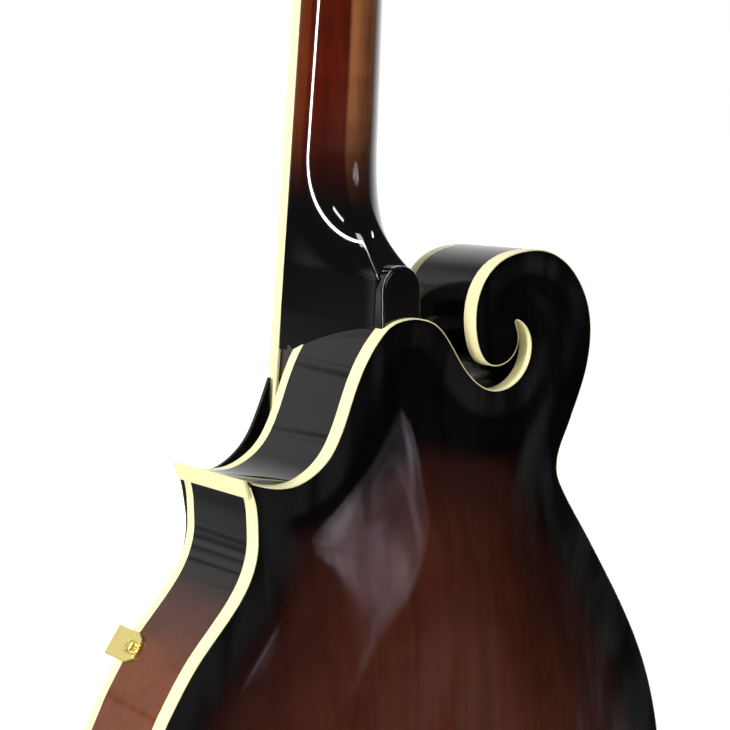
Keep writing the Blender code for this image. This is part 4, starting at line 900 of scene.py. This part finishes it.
def make_ribs():
    """Bent sides, black round the scroll and points and brown along the lower bout."""
    front, back = TOP_BINDING + RIB_SEAM, BODY_DEPTH - BACK_BINDING - RIB_SEAM
    for name, first, last in (("rib_scroll", "waist", "bass rib end"),
                              ("rib_upper_treble", "treble rib start", "upper point"),
                              ("rib_between_points", "upper cap end", "lower point"),
                              ("rib_lower_bout", "lower cap end", "waist")):
        shape = band(body_path(first, last), 0, RIB_THICKNESS, front, back, False)
        rib = piece(name + "_look", shape, RIB_LACQUER, name)
        z = corners(rib)[:, 2]
        store(rib, "burst", 1 - smoothstep((z + 118 * MM) / (40 * MM)))


# ---------------------------------------------------------------- neck


def board_half_width(z):
    """Half the bound fretboard's width, z being negative below the nut; it tapers on over the body."""
    return (NUT_WIDTH + (JOINT_WIDTH - NUT_WIDTH) * -z / NECK_RUN) / 2


def neck_depth(z):
    """Depth of the neck and share of its heel at z in the neck's frame."""
    slender = NECK_DEPTH + NECK_SWELL * min(-z, NECK_RUN) / NECK_RUN
    above = z + NECK_RUN - HEEL_BOSS_HEIGHT
    share = 1 - min(max(above / (HEEL_LENGTH - HEEL_BOSS_HEIGHT), 0), 1)
    heel = HEEL_DEPTH + FRETBOARD_LIFT - HEEL_SCOOP
    return slender + (heel - slender) * share ** HEEL_CURVE, share ** HEEL_BLEND


def neck_section(z, count=48):
    """Half-round section of the neck, or concave section of the heel, or a mixture."""
    depth, heel = neck_depth(z)
    width = board_half_width(max(z, -NECK_RUN))
    t = np.linspace(0, math.pi, 2 * count + 1)
    round_share = np.minimum(t, math.pi - t) / (math.pi / 2)
    down = np.clip(round_share / (1 - HEEL_FACE), 0, 1)
    bow = np.clip((1 - round_share) / HEEL_FACE, 0, 1)
    boss = HEEL_BOSS_WIDTH / 2
    flank = (boss + (width - boss) * (1 - down) ** 1.5) * bow
    x = (1 - heel) * width * np.abs(np.cos(t)) ** 1.25 + heel * flank
    y = (1 - heel) * depth * np.sin(t) ** 1.25 + heel * depth * down
    return [Vector((px, py, z)) for px, py in zip(x * np.sign(np.cos(t).round(9)), y)]


def head_outline():
    """Headstock outline, from the nut up: throat, flared shoulders and a soft crown."""
    half = HEAD_WIDTH / 2
    throat = HEAD_THROAT_WIDTH / 2
    anchors = (
        (throat, -1 * MM, 90), (throat, 7 * MM, 90), (half * 0.8, HEAD_SHOULDER * 0.8, 38),
        (half, HEAD_SHOULDER + 12 * MM, 90), (half * 0.97, HEAD_LENGTH - 30 * MM, 92),
        (half * 0.86, HEAD_LENGTH - 12 * MM, 128), (half * 0.52, HEAD_LENGTH - 9 * MM, 180),
        (half * 0.2, HEAD_LENGTH - 3.5 * MM, 150), (0, HEAD_LENGTH, 180),
    )
    right = np.concatenate([arc_between(np.array(here[:2]), here[2], np.array(following[:2]), following[2])
                            for here, following in zip(anchors, anchors[1:])])
    return np.concatenate((right, [(0, HEAD_LENGTH)], right[::-1] * (-1, 1)))


def neck_burst(obj):
    """Keep how brown the neck is: dark where the heel starts, lighter along its two sides."""
    rows = corners(obj, NECK_FRAME)
    brown = smoothstep((rows[:, 2] + NECK_RUN - 36 * MM) / (42 * MM))
    store(obj, "burst", brown * smoothstep((-rows[:, 2] - 4 * MM) / (34 * MM)))
    store(obj, "middle", 1 - smoothstep((np.abs(rows[:, 0]) - 4.6 * MM) / (0.9 * MM)))
    store(obj, "side", 1 - smoothstep((rows[:, 1] - 3.8 * MM) / (1.4 * MM)))


def make_neck():
    """Neck shaft with its scooped heel, the boss under the heel, and the headstock."""
    stations = np.concatenate((np.linspace(2 * MM, -NECK_RUN + HEEL_LENGTH, 24)[:-1],
                               np.linspace(-NECK_RUN + HEEL_LENGTH, -NECK_RUN - HEEL_FOOT, 68)))
    shaft = piece("neck_shaft", loft([neck_section(z) for z in stations]), NECK_LACQUER, "neck",
                  place=NECK_FRAME, sharp=50)
    cut(shaft, thicken(face_of(inset(OUTLINE, -0.15 * MM), RIM_CLEARANCE), BODY_DEPTH + CUT_REACH))
    shaft.data.set_sharp_from_angle(angle=CUT_CREASE)
    half = HEEL_BOSS_WIDTH / 2
    arch = round_points((0, HEEL_BOSS_HEIGHT - half), half, 0, math.pi, 33)
    arch = np.concatenate((arch, [(-half, -12 * MM), (half, -12 * MM)]))
    boss = thicken(face_of(arch, HEEL_DEPTH * 0.6), HEEL_DEPTH * 0.4)
    boss = piece("heel_boss", soften(boss, 1.1 * MM, 4), NECK_LACQUER, flat=True)
    head = soften(thicken(face_of(head_outline()), HEAD_THICKNESS), 1.2 * MM, 3)
    head = piece("headstock", head, NECK_LACQUER, place=HEAD_FRAME, flat=True)
    for obj in (shaft, boss, head):
        neck_burst(obj)


# ---------------------------------------------------------------- fittings


def guard_back(x, z):
    """Back of the pickguard, a plane that leans down towards the edge and rises to the bridge."""
    return -PICKGUARD_LEVEL + PICKGUARD_LEAN * x + PICKGUARD_RISE * z


def make_pickguard():
    """Raised guard beside the strings, following the body's edge past the upper point."""
    path = body_path("shoulder", "guard end")
    setback = PICKGUARD_SETBACK * smoothstep((-path[:, 1] - 35 * MM) / (70 * MM))
    width = PICKGUARD_INSET + setback
    moved = path + side_normals(path, False) * width[:, None]
    rim = moved[edge_distance(moved, OUTLINE) > width * 0.97]
    far = board_half_width(-FRETBOARD_END) + SEAT_GAP
    start = rim[rim[:, 0] > far + PICKGUARD_CORNER]
    low = -BRIDGE_LINE + BRIDGE_BASE_WIDTH
    corner = np.array((far + 4 * MM, low))
    foot = np.array((far + PICKGUARD_FOOT, low + 4 * MM))
    sweep = np.concatenate((arc_between(rim[-1], -75, foot, 196), arc_between(foot, 196, corner, 180)))
    inner = np.array((corner, (far, low + 6 * MM), (far, start[0][1] - PICKGUARD_CORNER)))
    bm = face_of(np.concatenate((start[:-1], sweep, inner)))
    thicken(bm, PICKGUARD_THICKNESS)
    for vert in bm.verts:
        vert.co.y += guard_back(vert.co.x, vert.co.z) - PICKGUARD_THICKNESS
    piece("pickguard_look", soften(bm, 0.35 * MM), BLACK_PLASTIC, "pickguard", flat=True)


def screw(name, radius, height, place, look, body="instrument", node=None):
    """Cheese-head screw with a cross slot, standing on the plane z = 0 of its place."""
    bm = turned(((radius, 0), (radius, height * 0.7), (radius * 0.9, height * 0.93),
                 (radius * 0.6, height), (radius * 0.15, height)), 32)
    head = piece(name, bm, look, node, body, place, sharp=50)
    long, wide = radius * 0.62, radius * 0.13
    for turn in (0, math.pi / 2):
        slot = box((-long, -wide, height * 0.45), (long, wide, height * 2))
        slot.transform(Matrix.Rotation(turn + math.pi / 4, 4, "Z"))
        cut(head, slot, place)
    head.data.set_sharp_from_angle(angle=CUT_CREASE)
    return head


def clamp_frame():
    """Place of the clamp on the rib, its local x running inwards, and the rib's direction there."""
    path = body_path("guard end", "clamp end")
    run = path[-1] - path[0]
    spot = path[0] + CLAMP_PLACE * run
    turn = Matrix.Rotation(-math.atan2(run[1], run[0]) - math.pi / 2, 4, "Y")
    return BODY_FRAME @ at(spot[0], 0, spot[1]) @ turn, spot, run


def make_clamp():
    """Bright bracket from the rib to the underside of the pickguard, with a cross-head screw."""
    place, spot, run = clamp_frame()
    half = CLAMP_WIDTH / 2
    bend = guard_back(*spot) + SEAT_GAP
    tip = round_points((CLAMP_DROP - half, 0), half, -math.pi / 2, math.pi / 2, 25)
    outside = SEAT_GAP + CLAMP_THICKNESS
    path = np.concatenate(([(bend, -half)], tip, [(bend, half)]))
    leg = thicken(face_of(path, -outside), CLAMP_THICKNESS)
    piece("clamp_leg", soften(leg, 0.22 * MM, 3), GOLD, "pickguard_clamp",
          place=place @ Matrix.Rotation(math.pi / 2, 4, "Z"), flat=True)
    along = run / np.linalg.norm(run) * CLAMP_ARM_WIDTH / 2
    away = np.array((-run[1], run[0])) / np.linalg.norm(run)
    root = spot + away * (SEAT_GAP + CLAMP_THICKNESS / 2)
    end = spot - away * CLAMP_REACH
    arm = thicken(face_of((end - along, root - along, root + along, end + along)), CLAMP_THICKNESS)
    for vert in arm.verts:
        vert.co.y += guard_back(vert.co.x, vert.co.z) + SEAT_GAP
    piece("clamp_arm", soften(arm, 0.22 * MM, 2), GOLD, flat=True)
    seat = place @ at(0, CLAMP_SCREW_DROP, 0) @ Matrix.Rotation(math.pi / 2, 4, "Y")
    seat = seat @ at(0, 0, outside)
    screw("clamp_screw_look", CLAMP_SCREW_RADIUS, 1.75 * MM, seat, GOLD, node="clamp_screw")


# ---------------------------------------------------------------- fretboard


def make_riser():
    """Black wood that fills the room between the fretboard's tail and the top."""
    rings = []
    to_neck = NECK_FRAME.inverted() @ BODY_FRAME
    for z in np.linspace(-NECK_RUN - 12 * MM, -FRETBOARD_END + 3 * MM, 16):
        half = board_half_width(z) - RISER_INSET
        down = z + NECK_RUN
        level = RIM_CLEARANCE
        if down < -25 * MM:
            level = 1.5 * MM - arch_height(np.array([(0, down)]), TOP_ARCH)[0]
        back = max((to_neck @ Vector((0, level, down))).y, 1.5 * MM)
        rings.append([Vector((-half, -0.2 * MM, z)), Vector((half, -0.2 * MM, z)),
                      Vector((half, back, z)), Vector((-half, back, z))])
    piece("fretboard_riser", loft(rings), NECK_LACQUER, place=NECK_FRAME)


def make_fretboard():
    """Rosewood board, without its frets."""
    near, far = (board_half_width(z) - FRETBOARD_BINDING - SEAT_GAP for z in (0, -FRETBOARD_END))
    path = ((near, -SEAT_GAP), (far, -FRETBOARD_END), (-far, -FRETBOARD_END), (-near, -SEAT_GAP))
    board = thicken(face_of(path, -FRETBOARD_THICKNESS - SEAT_GAP), FRETBOARD_THICKNESS)
    piece("fretboard_look", board, ROSEWOOD, "fretboard", place=NECK_FRAME)


def make_frets():
    """Half-round wire across the board at each fret."""
    frets = bmesh.new()
    for number in range(1, FRET_COUNT + 1):
        z = -fret_distance(number)
        half = board_half_width(z) - FRETBOARD_BINDING - SEAT_GAP
        spots = [frets.verts.new((-half, -FRETBOARD_THICKNESS - SEAT_GAP - FRET_HEIGHT * math.sin(a),
                                  z + FRET_WIDTH / 2 * math.cos(a))) for a in np.linspace(0, math.pi, 9)]
        pull(frets, [frets.faces.new(spots)], (2 * half, 0, 0))
    piece("fret_wire", frets, STEEL, place=NECK_FRAME, sharp=60)


def make_dots():
    """Pearl dots between frets, two of them at the octave."""
    dots = bmesh.new()
    for number in DOT_FRETS:
        z = -(fret_distance(number) + fret_distance(number - 1)) / 2
        for x in ((-DOUBLE_DOT_OFFSET, DOUBLE_DOT_OFFSET) if number == DOUBLE_DOT_FRET else (0,)):
            spot = at(x, -FRETBOARD_THICKNESS - SEAT_GAP - 0.02 * MM, z)
            bmesh.ops.create_circle(dots, cap_ends=True, radius=DOT_RADIUS, segments=24,
                                    matrix=spot @ TO_FRONT)
    piece("position_dots", thicken(dots, 0.5 * MM), PEARLOID, place=NECK_FRAME)


def make_nut():
    """Bone nut, rounded over, with a slot for each string."""
    nut = eased("nut", BONE, 0.5 * MM, 3)
    for index in range(STRING_COUNT):
        x, radius = string_x(index, NUT_STRING_SPREAD), STRING_RADII[index // 2]
        slot = box((x - radius * 1.1, -NUT_HEIGHT * 1.5, -1 * MM),
                   (x + radius * 1.1, -NUT_HEIGHT + 0.3 * MM, NUT_LENGTH * 1.5))
        cut(nut, slot, NECK_FRAME)
    nut.data.set_sharp_from_angle(angle=CUT_CREASE)


# ---------------------------------------------------------------- headstock


def post_places():
    """Number, side, x and z of the eight string posts in the headstock's frame."""
    for index in range(STRING_COUNT):
        side = -1 if index < ROW_COUNT else 1
        step = index if index < ROW_COUNT else STRING_COUNT - 1 - index
        yield index + 1, side, side * POST_ROW, FIRST_POST + step * POST_SPACING


def cog(radius, depth, teeth, front, back):
    """Toothed disc about the Y axis."""
    angles = np.arange(teeth * 4) * math.pi / (teeth * 2)
    reach = np.where(np.arange(teeth * 4) % 4 < 2, radius, radius - depth)
    disc = face_of(np.stack((reach * np.cos(angles), reach * np.sin(angles)), 1), front)
    return thicken(disc, back - front)


def post_profile(front, gear_front):
    """Turned string post: a domed end, a groove for the string between two collars, and a stem."""
    edge, groove = POST_RADIUS, POST_GROOVE
    return ((edge * 0.3, front), (groove, front + 0.15 * MM), (edge, front + 1.1 * MM),
            (edge, front + 2.4 * MM), (groove, front + 3.4 * MM), (groove, front + 6.5 * MM),
            (edge, front + 7.6 * MM), (edge, gear_front), (edge * 0.2, gear_front))


def make_tuners():
    """Toothed gears and worms on two plates, turned posts and oval pearl buttons."""
    for side in ("bass", "treble"):
        eased("tuner_plate_" + side, GOLD, 0.25 * MM)
    gear_front = SHAFT_DEPTH - GEAR_THICKNESS / 2
    gear_back = gear_front + GEAR_THICKNESS
    front = -VENEER_THICKNESS - POST_STANDOFF
    for number, side, x, z in post_places():
        body = f"post_{number}"
        place = HEAD_FRAME @ at(x, 0, z)
        post = piece(f"string_post_{number}_look", turned(post_profile(front, gear_front), 32), GOLD,
                     f"string_post_{number}", body, place @ TO_BACK, sharp=50)
        hole = turned(((POST_HOLE, -5 * MM), (POST_HOLE, 5 * MM)), 12)
        cut(post, hole, place @ at(0, front + 5 * MM, 0))
        disc = cog(GEAR_RADIUS, TOOTH_DEPTH, GEAR_TEETH, gear_front, gear_back)
        piece(f"gear_{number}", soften(disc, 0.15 * MM, 1, 60), GOLD, None, body, place)
        screw(f"gear_screw_{number}", 2 * MM, 1 * MM, place @ at(0, gear_back, 0) @ TO_BACK, GOLD, body)
        out = at(0, SHAFT_DEPTH, -WORM_DROP) @ Matrix.Rotation(side * math.pi / 2, 4, "Y")
        make_key(number, f"key_{number}", place @ out)


def make_key(number, body, place):
    """Worm shaft in gold and its oval button."""
    half = WORM_LENGTH / 2
    core, collar = SHAFT_RADIUS * 0.4, SHAFT_RADIUS * 1.7
    profile = [(core, -half - 3.2 * MM), (SHAFT_RADIUS, -half - 3 * MM), (SHAFT_RADIUS, -half)]
    for z in np.arange(-half + 0.6 * MM, half - 0.6 * MM, WORM_PITCH):
        profile += [(WORM_RADIUS * 0.72, z), (WORM_RADIUS, z + 0.35 * MM), (WORM_RADIUS, z + 0.6 * MM)]
    start = KEY_REACH - KEY_NECK
    profile += [(SHAFT_RADIUS, half), (SHAFT_RADIUS, start - 1.6 * MM), (collar, start - 1 * MM),
                (collar, start), (core, start)]
    piece(f"key_shaft_{number}", turned(profile, 24), GOLD, None, body, place, sharp=40)
    rings = []
    for share in np.linspace(0, 1, 15):
        size = max((1 - abs(2 * share - 1) ** 2.6) ** 0.5, 0.28)
        z = start + 0.2 * MM + KEY_LENGTH * share
        rings.append([Vector((KEY_THICKNESS / 2 * size * math.cos(a), KEY_WIDTH / 2 * size * math.sin(a), z))
                      for a in np.arange(24) * math.pi / 12])
    piece(f"key_button_{number}", loft(rings), PEARLOID, f"tuner_key_{number}", body, place, sharp=60)


def make_head_dressing():
    """Black veneer, bell-shaped cover and the screws of the cover and the plates."""
    eased("headstock_veneer", BLACK_PLASTIC, 0.35 * MM)
    eased("truss_rod_cover", BLACK_PLASTIC, 0.4 * MM)
    front = -VENEER_THICKNESS - 2 * SEAT_GAP - COVER_THICKNESS
    for index, (x, z) in enumerate(COVER_SCREWS):
        place = HEAD_FRAME @ at(x, front, z) @ TO_FRONT
        screw(f"cover_screw_{index}", 1.3 * MM, 0.7 * MM, place, GOLD)
    lowest = FIRST_POST - WORM_DROP - 2.6 * MM
    highest = FIRST_POST + 3 * POST_SPACING + 8.4 * MM
    for side in (-1, 1):
        for row in range(ROW_COUNT + 1):
            z = FIRST_POST - WORM_DROP + (row - 0.5) * POST_SPACING + 6.5 * MM
            z = min(max(z, lowest), highest)
            place = HEAD_FRAME @ at(side * (POST_ROW - 7 * MM), PLATE_BACK, z) @ TO_BACK
            screw(f"plate_screw_{side + 1}_{row}", 1.4 * MM, 0.8 * MM, place, GOLD)


# ---------------------------------------------------------------- bridge, tailpiece and strings


def string_x(index, spread):
    """Sideways place of a string: four courses of two across a spread, bass first."""
    return spread * (index // 2 / 3 - 0.5) + (index % 2 - 0.5) * COURSE_GAP


def make_bridge():
    """Fitted base, threaded posts, knurled wheels and the saddle."""
    crest = -arch_height(np.array([(0, -BRIDGE_LINE)]), TOP_ARCH)[0]
    base_top = crest - BRIDGE_BASE_HEIGHT
    eased("bridge_base", ROSEWOOD, 0.5 * MM, 2, 40)
    eased("bridge_saddle", ROSEWOOD, 0.4 * MM, 2, 40)
    for side, label in ((-1, "bass"), (1, "treble")):
        axis = BODY_FRAME @ at(side * BRIDGE_POST_SPREAD / 2, 0, -BRIDGE_LINE)
        name = "thumbwheel_" + label
        level = (BODY_FRAME.inverted() @ middle_of(name)).y
        disc = cog(THUMBWHEEL_RADIUS, KNURL_DEPTH, KNURL_COUNT,
                   level - THUMBWHEEL_THICKNESS / 2, level + THUMBWHEEL_THICKNESS / 2)
        knurled = piece(name + "_look", disc, STEEL, name, body_of(name), axis)
        bore = turned(((THUMBWHEEL_BORE, -CUT_REACH), (THUMBWHEEL_BORE, CUT_REACH)), 24)
        cut(knurled, bore, axis @ TO_BACK)
        ridges = []
        for z in np.arange(*THREAD_ENDS, THREAD_PITCH):
            ridges += [(THREAD_ROOT, z), (THREAD_CREST, z + THREAD_PITCH / 2)]
        place = axis @ at(0, base_top, 0) @ TO_BACK
        piece(f"bridge_post_{label}", turned(ridges, 20), STEEL, place=place, sharp=30)


def rounded_rectangle(half, low, high, radius):
    """Points round a rectangle with round corners, in the (x, z) plane."""
    centres = ((half - radius, high - radius), (radius - half, high - radius),
               (radius - half, low + radius), (half - radius, low + radius))
    quarter = math.pi / 2
    return np.vstack([round_points(centre, radius, index * quarter, (index + 1) * quarter, 9)
                      for index, centre in enumerate(centres)])


def make_tailpiece():
    """Bent base with hooks, and its cover with a raised rim and three bosses."""
    eased("tailpiece_base", GOLD, 0.25 * MM)
    eased("tailpiece_cover", GOLD, 0.45 * MM, 3)
    low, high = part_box("tailpiece_cover")
    half = (high[0] - low[0]) / 2 - COVER_RIM_INSET
    foot = COVER_RIM_INSET - COVER_WALL
    path = rounded_rectangle(half, foot, foot + COVER_RIM_HEIGHT, COVER_RIM_CORNER)
    rim = band(path, 0, COVER_RIM_WIDTH, 0, 0.5 * MM, True, 0.16 * MM)
    body = body_of("tailpiece_cover")
    piece("cover_rim", rim, GOLD, None, body, TAIL_FRAME @ at(0, -COVER_HEADROOM - 0.4 * MM, 0))
    boss = ((3.4 * MM, -0.2 * MM), (3.4 * MM, 0.1 * MM), (2.6 * MM, 0.45 * MM), (0.5 * MM, 0.6 * MM))
    for index, (x, z) in enumerate(COVER_BOSSES):
        place = TAIL_FRAME @ at(x, -COVER_HEADROOM, z) @ TO_FRONT
        piece(f"cover_boss_{index}", turned(boss, 32), GOLD, None, body, place)


def make_end_pin():
    """Turned strap button: a round head, a waist, and a collar against the rib."""
    low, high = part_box("end_pin")
    middle = middle_of("end_pin")
    length = high[2] - low[2]
    top = length - END_PIN_SHANK
    rounds = ((0.3, 0), (0.72, 0.25 * MM), (0.9, 1.1 * MM), (0.98, 2.6 * MM), (0.94, 3.8 * MM),
              (0.68, 5.6 * MM), (0.56, 7.4 * MM), (0.64, 9 * MM), (0.9, top - 2 * MM),
              (0.98, top - 0.9 * MM), (0.98, top - 0.2 * MM))
    shank = ((3.1 * MM, top), (3.1 * MM, length - 0.2 * MM), (0.5 * MM, length))
    profile = [(share * END_PIN_RADIUS, height) for share, height in rounds] + list(shank)
    piece("end_pin_look", turned(profile, 48), BLACK_PLASTIC, "end_pin",
          place=at(middle.x, middle.y, low[2]), sharp=60)


def tube(path, radius, sides=10):
    """Round wire along a path."""
    rings = []
    side = Vector((1, 0.3, 0.2))
    for index, spot in enumerate(path):
        ahead = path[min(index + 1, len(path) - 1)] - path[max(index - 1, 0)]
        ahead.normalize()
        side = (side - ahead * side.dot(ahead)).normalized()
        up = ahead.cross(side)
        rings.append([spot + (side * math.cos(a) + up * math.sin(a)) * radius
                      for a in np.arange(sides) * 2 * math.pi / sides])
    return loft(rings)


def make_strings():
    """Eight strings from the hooks over the saddle and the nut, with their turns on the posts."""
    posts = {number: (side, x, z) for number, side, x, z in post_places()}
    for index in range(STRING_COUNT):
        radius = STRING_RADII[index // 2]
        hook_x, saddle_x, nut_x = (string_x(index, spread)
                                   for spread in (HOOK_SPREAD, SADDLE_STRING_SPREAD, NUT_STRING_SPREAD))
        crest = -NUT_HEIGHT - SEAT_GAP - radius
        hook = TAIL_FRAME @ Vector((hook_x, -HOOK_HEIGHT * 0.6, HOOK_PLACE + SEAT_GAP + radius))
        saddle = NECK_FRAME @ Vector((saddle_x, -STRING_BOTTOM - radius, -SCALE_LENGTH))
        near = NECK_FRAME @ Vector((nut_x, crest, 0))
        far = NECK_FRAME @ Vector((nut_x, crest, NUT_LENGTH))
        side, post_x, post_z = posts[index + 1]
        wrap = POST_GROOVE + radius
        level = -VENEER_THICKNESS - POST_STANDOFF * 0.55
        end = HEAD_FRAME @ Vector((post_x - side * wrap, level, post_z))
        look = BRONZE if index < ROW_COUNT else STEEL
        name = f"string_{index + 1}"
        piece(name + "_look", tube([hook, saddle, near, far, end], radius), look, name,
              body_of(name), Matrix.Identity(4), sharp=60)
        angles = np.linspace(0, STRING_TURNS * 2 * math.pi, 80)
        coil = [Vector((post_x - side * wrap * math.cos(a), level + 2.05 * radius * a / (2 * math.pi),
                        post_z + wrap * math.sin(a))) for a in angles]
        piece(f"coil_{index + 1}", tube(coil, radius, 8), look, None, f"post_{index + 1}", HEAD_FRAME)


def dress_nodes():
    """Materials for the CAD nodes that stay."""
    looks = {
        "cream_binding": CREAM, "maple_burst": BACK_LACQUER, "spruce_burst": TOP_LACQUER,
        "rib_maple": RIB_LACQUER, "neck_maple": NECK_LACQUER, "block_wood": BARE_WOOD,
        "rosewood": ROSEWOOD, "black_plastic": BLACK_PLASTIC, "bone": BONE, "gold_plate": GOLD,
        "steel": STEEL, "pearloid": PEARLOID, "bronze_string": BRONZE,
    }
    for node in frame["nodes"].values():
        for slot in node.material_slots:
            slot.material = looks[slot.material.name.split(".")[0]]


# ---------------------------------------------------------------- stage


def make_camera():
    """Close view of the body's upper half from behind, on the treble side."""
    data = bpy.data.cameras.new("camera")
    data.lens = CAMERA_LENS
    camera = stand("camera", data)
    camera.location = CAMERA_PLACE
    camera.rotation_euler = Euler([math.radians(angle) for angle in CAMERA_TURN])
    data.clip_start = 0.01
    bpy.context.scene.camera = camera


def lamp(name, azimuth, elevation, distance, width, height, radiance, mirrored):
    """Rectangular lamp that faces the body."""
    turn, climb = math.radians(azimuth), math.radians(elevation)
    aim = Vector((math.sin(turn) * math.cos(climb), math.cos(turn) * math.cos(climb), math.sin(climb)))
    data = bpy.data.lights.new(name, "AREA")
    data.shape = "RECTANGLE"
    data.size, data.size_y = width, height
    data.energy = radiance * math.pi * width * height
    obj = stand(name, data)
    obj.location = LAMP_CENTRE + aim * distance
    obj.visible_glossy = mirrored
    obj.rotation_euler = aim.to_track_quat("Z", "Y").to_matrix().to_euler()


def make_floor():
    """Pale floor that goes white with distance, keeps the shadow and doesn't show in reflections."""
    bm = bmesh.new()
    bmesh.ops.create_grid(bm, x_segments=1, y_segments=1, size=FLOOR_SIZE)
    bm.transform(at(0, 0, CAD_BOX[0].z - 0.3 * MM))
    floor = shaped("floor", bm)
    look, place = new_material("floor_look", roughness=0.9, emission_strength=1.0,
                               base_color=(0.85, 0.85, 0.85, 1))
    rays = place.node("ShaderNodeLightPath", {}, "Is Camera Ray")
    reach = place.node("ShaderNodeVectorMath", {0: place}, "Value", operation="LENGTH")
    wire_up(look, emission_color=rays * (reach.ease(0.6, 1.1) * 0.6 + 0.4))
    nodes, links = look.node_tree.nodes, look.node_tree.links
    clear = nodes.new("ShaderNodeBsdfTransparent")
    mixed = place.node("ShaderNodeMixShader", {0: place.node("ShaderNodeLightPath", {}, "Is Glossy Ray")})
    links.new(nodes["Principled BSDF"].outputs[0], mixed.socket.node.inputs[1])
    links.new(clear.outputs[0], mixed.socket.node.inputs[2])
    links.new(mixed.socket, nodes["Material Output"].inputs["Surface"])
    floor.data.materials.append(look)


def make_surroundings():
    """White to look at; to the object, a pale sweep in front of it and a soft window in a dim room."""
    world = bpy.data.worlds.new("surroundings")
    world.use_nodes = True
    bpy.context.scene.world = world
    background = world.node_tree.nodes["Background"]
    heading = Wire(world.node_tree.nodes.new("ShaderNodeTexCoord").outputs["Generated"])
    rays = world.node_tree.nodes.new("ShaderNodeLightPath")
    seen, glossy = Wire(rays.outputs["Is Camera Ray"]), Wire(rays.outputs["Is Glossy Ray"])
    sweep = heading.towards(SWEEP_SIDE, 0.5, 0.95) * (glossy * 0.3 + 0.6)
    bars = heading.stretch(0.5, 0.5, 4).noise(3.6, 1, 0.5).ease(0.36, 0.5) * 0.6 + 0.4
    front = heading.towards(FRONT_SIDE, 0.80, 0.98) * bars * FRONT_LIGHT
    cloud = heading.noise(9, 1, 0.4) * 0.9
    window = (heading.towards(WINDOW_SIDE, 0.96, 0.999) + cloud).ease(0.85, 1.7) * WINDOW_LIGHT
    table = heading.towards((0, 0, -1), 0.08, 0.24) * TABLE_LIGHT
    strength = seen + (1 - seen) * (sweep + front + window + table + ROOM_LIGHT)
    tint = (seen + heading.towards(WINDOW_SIDE, 0.9, 0.8)).mix(WINDOW_TINT, WHITE)
    world.node_tree.links.new(tint.socket, background.inputs["Color"])
    world.node_tree.links.new(strength.socket, background.inputs["Strength"])


def make_stage():
    """Floor, surroundings and lamps."""
    make_floor()
    make_surroundings()
    for row in LAMPS:
        lamp(*row)
    bpy.context.scene.view_settings.view_transform = "Standard"


def main():
    """Dress every piece and set the stage."""
    dress_nodes()
    make_back()
    make_top()
    make_bindings()
    make_ribs()
    make_neck()
    make_pickguard()
    make_clamp()
    make_riser()
    make_fretboard()
    make_frets()
    make_dots()
    eased("fretboard_binding", CREAM, 0.3 * MM)
    make_nut()
    make_tuners()
    make_head_dressing()
    make_bridge()
    make_tailpiece()
    make_end_pin()
    make_strings()
    make_camera()
    make_stage()


main()
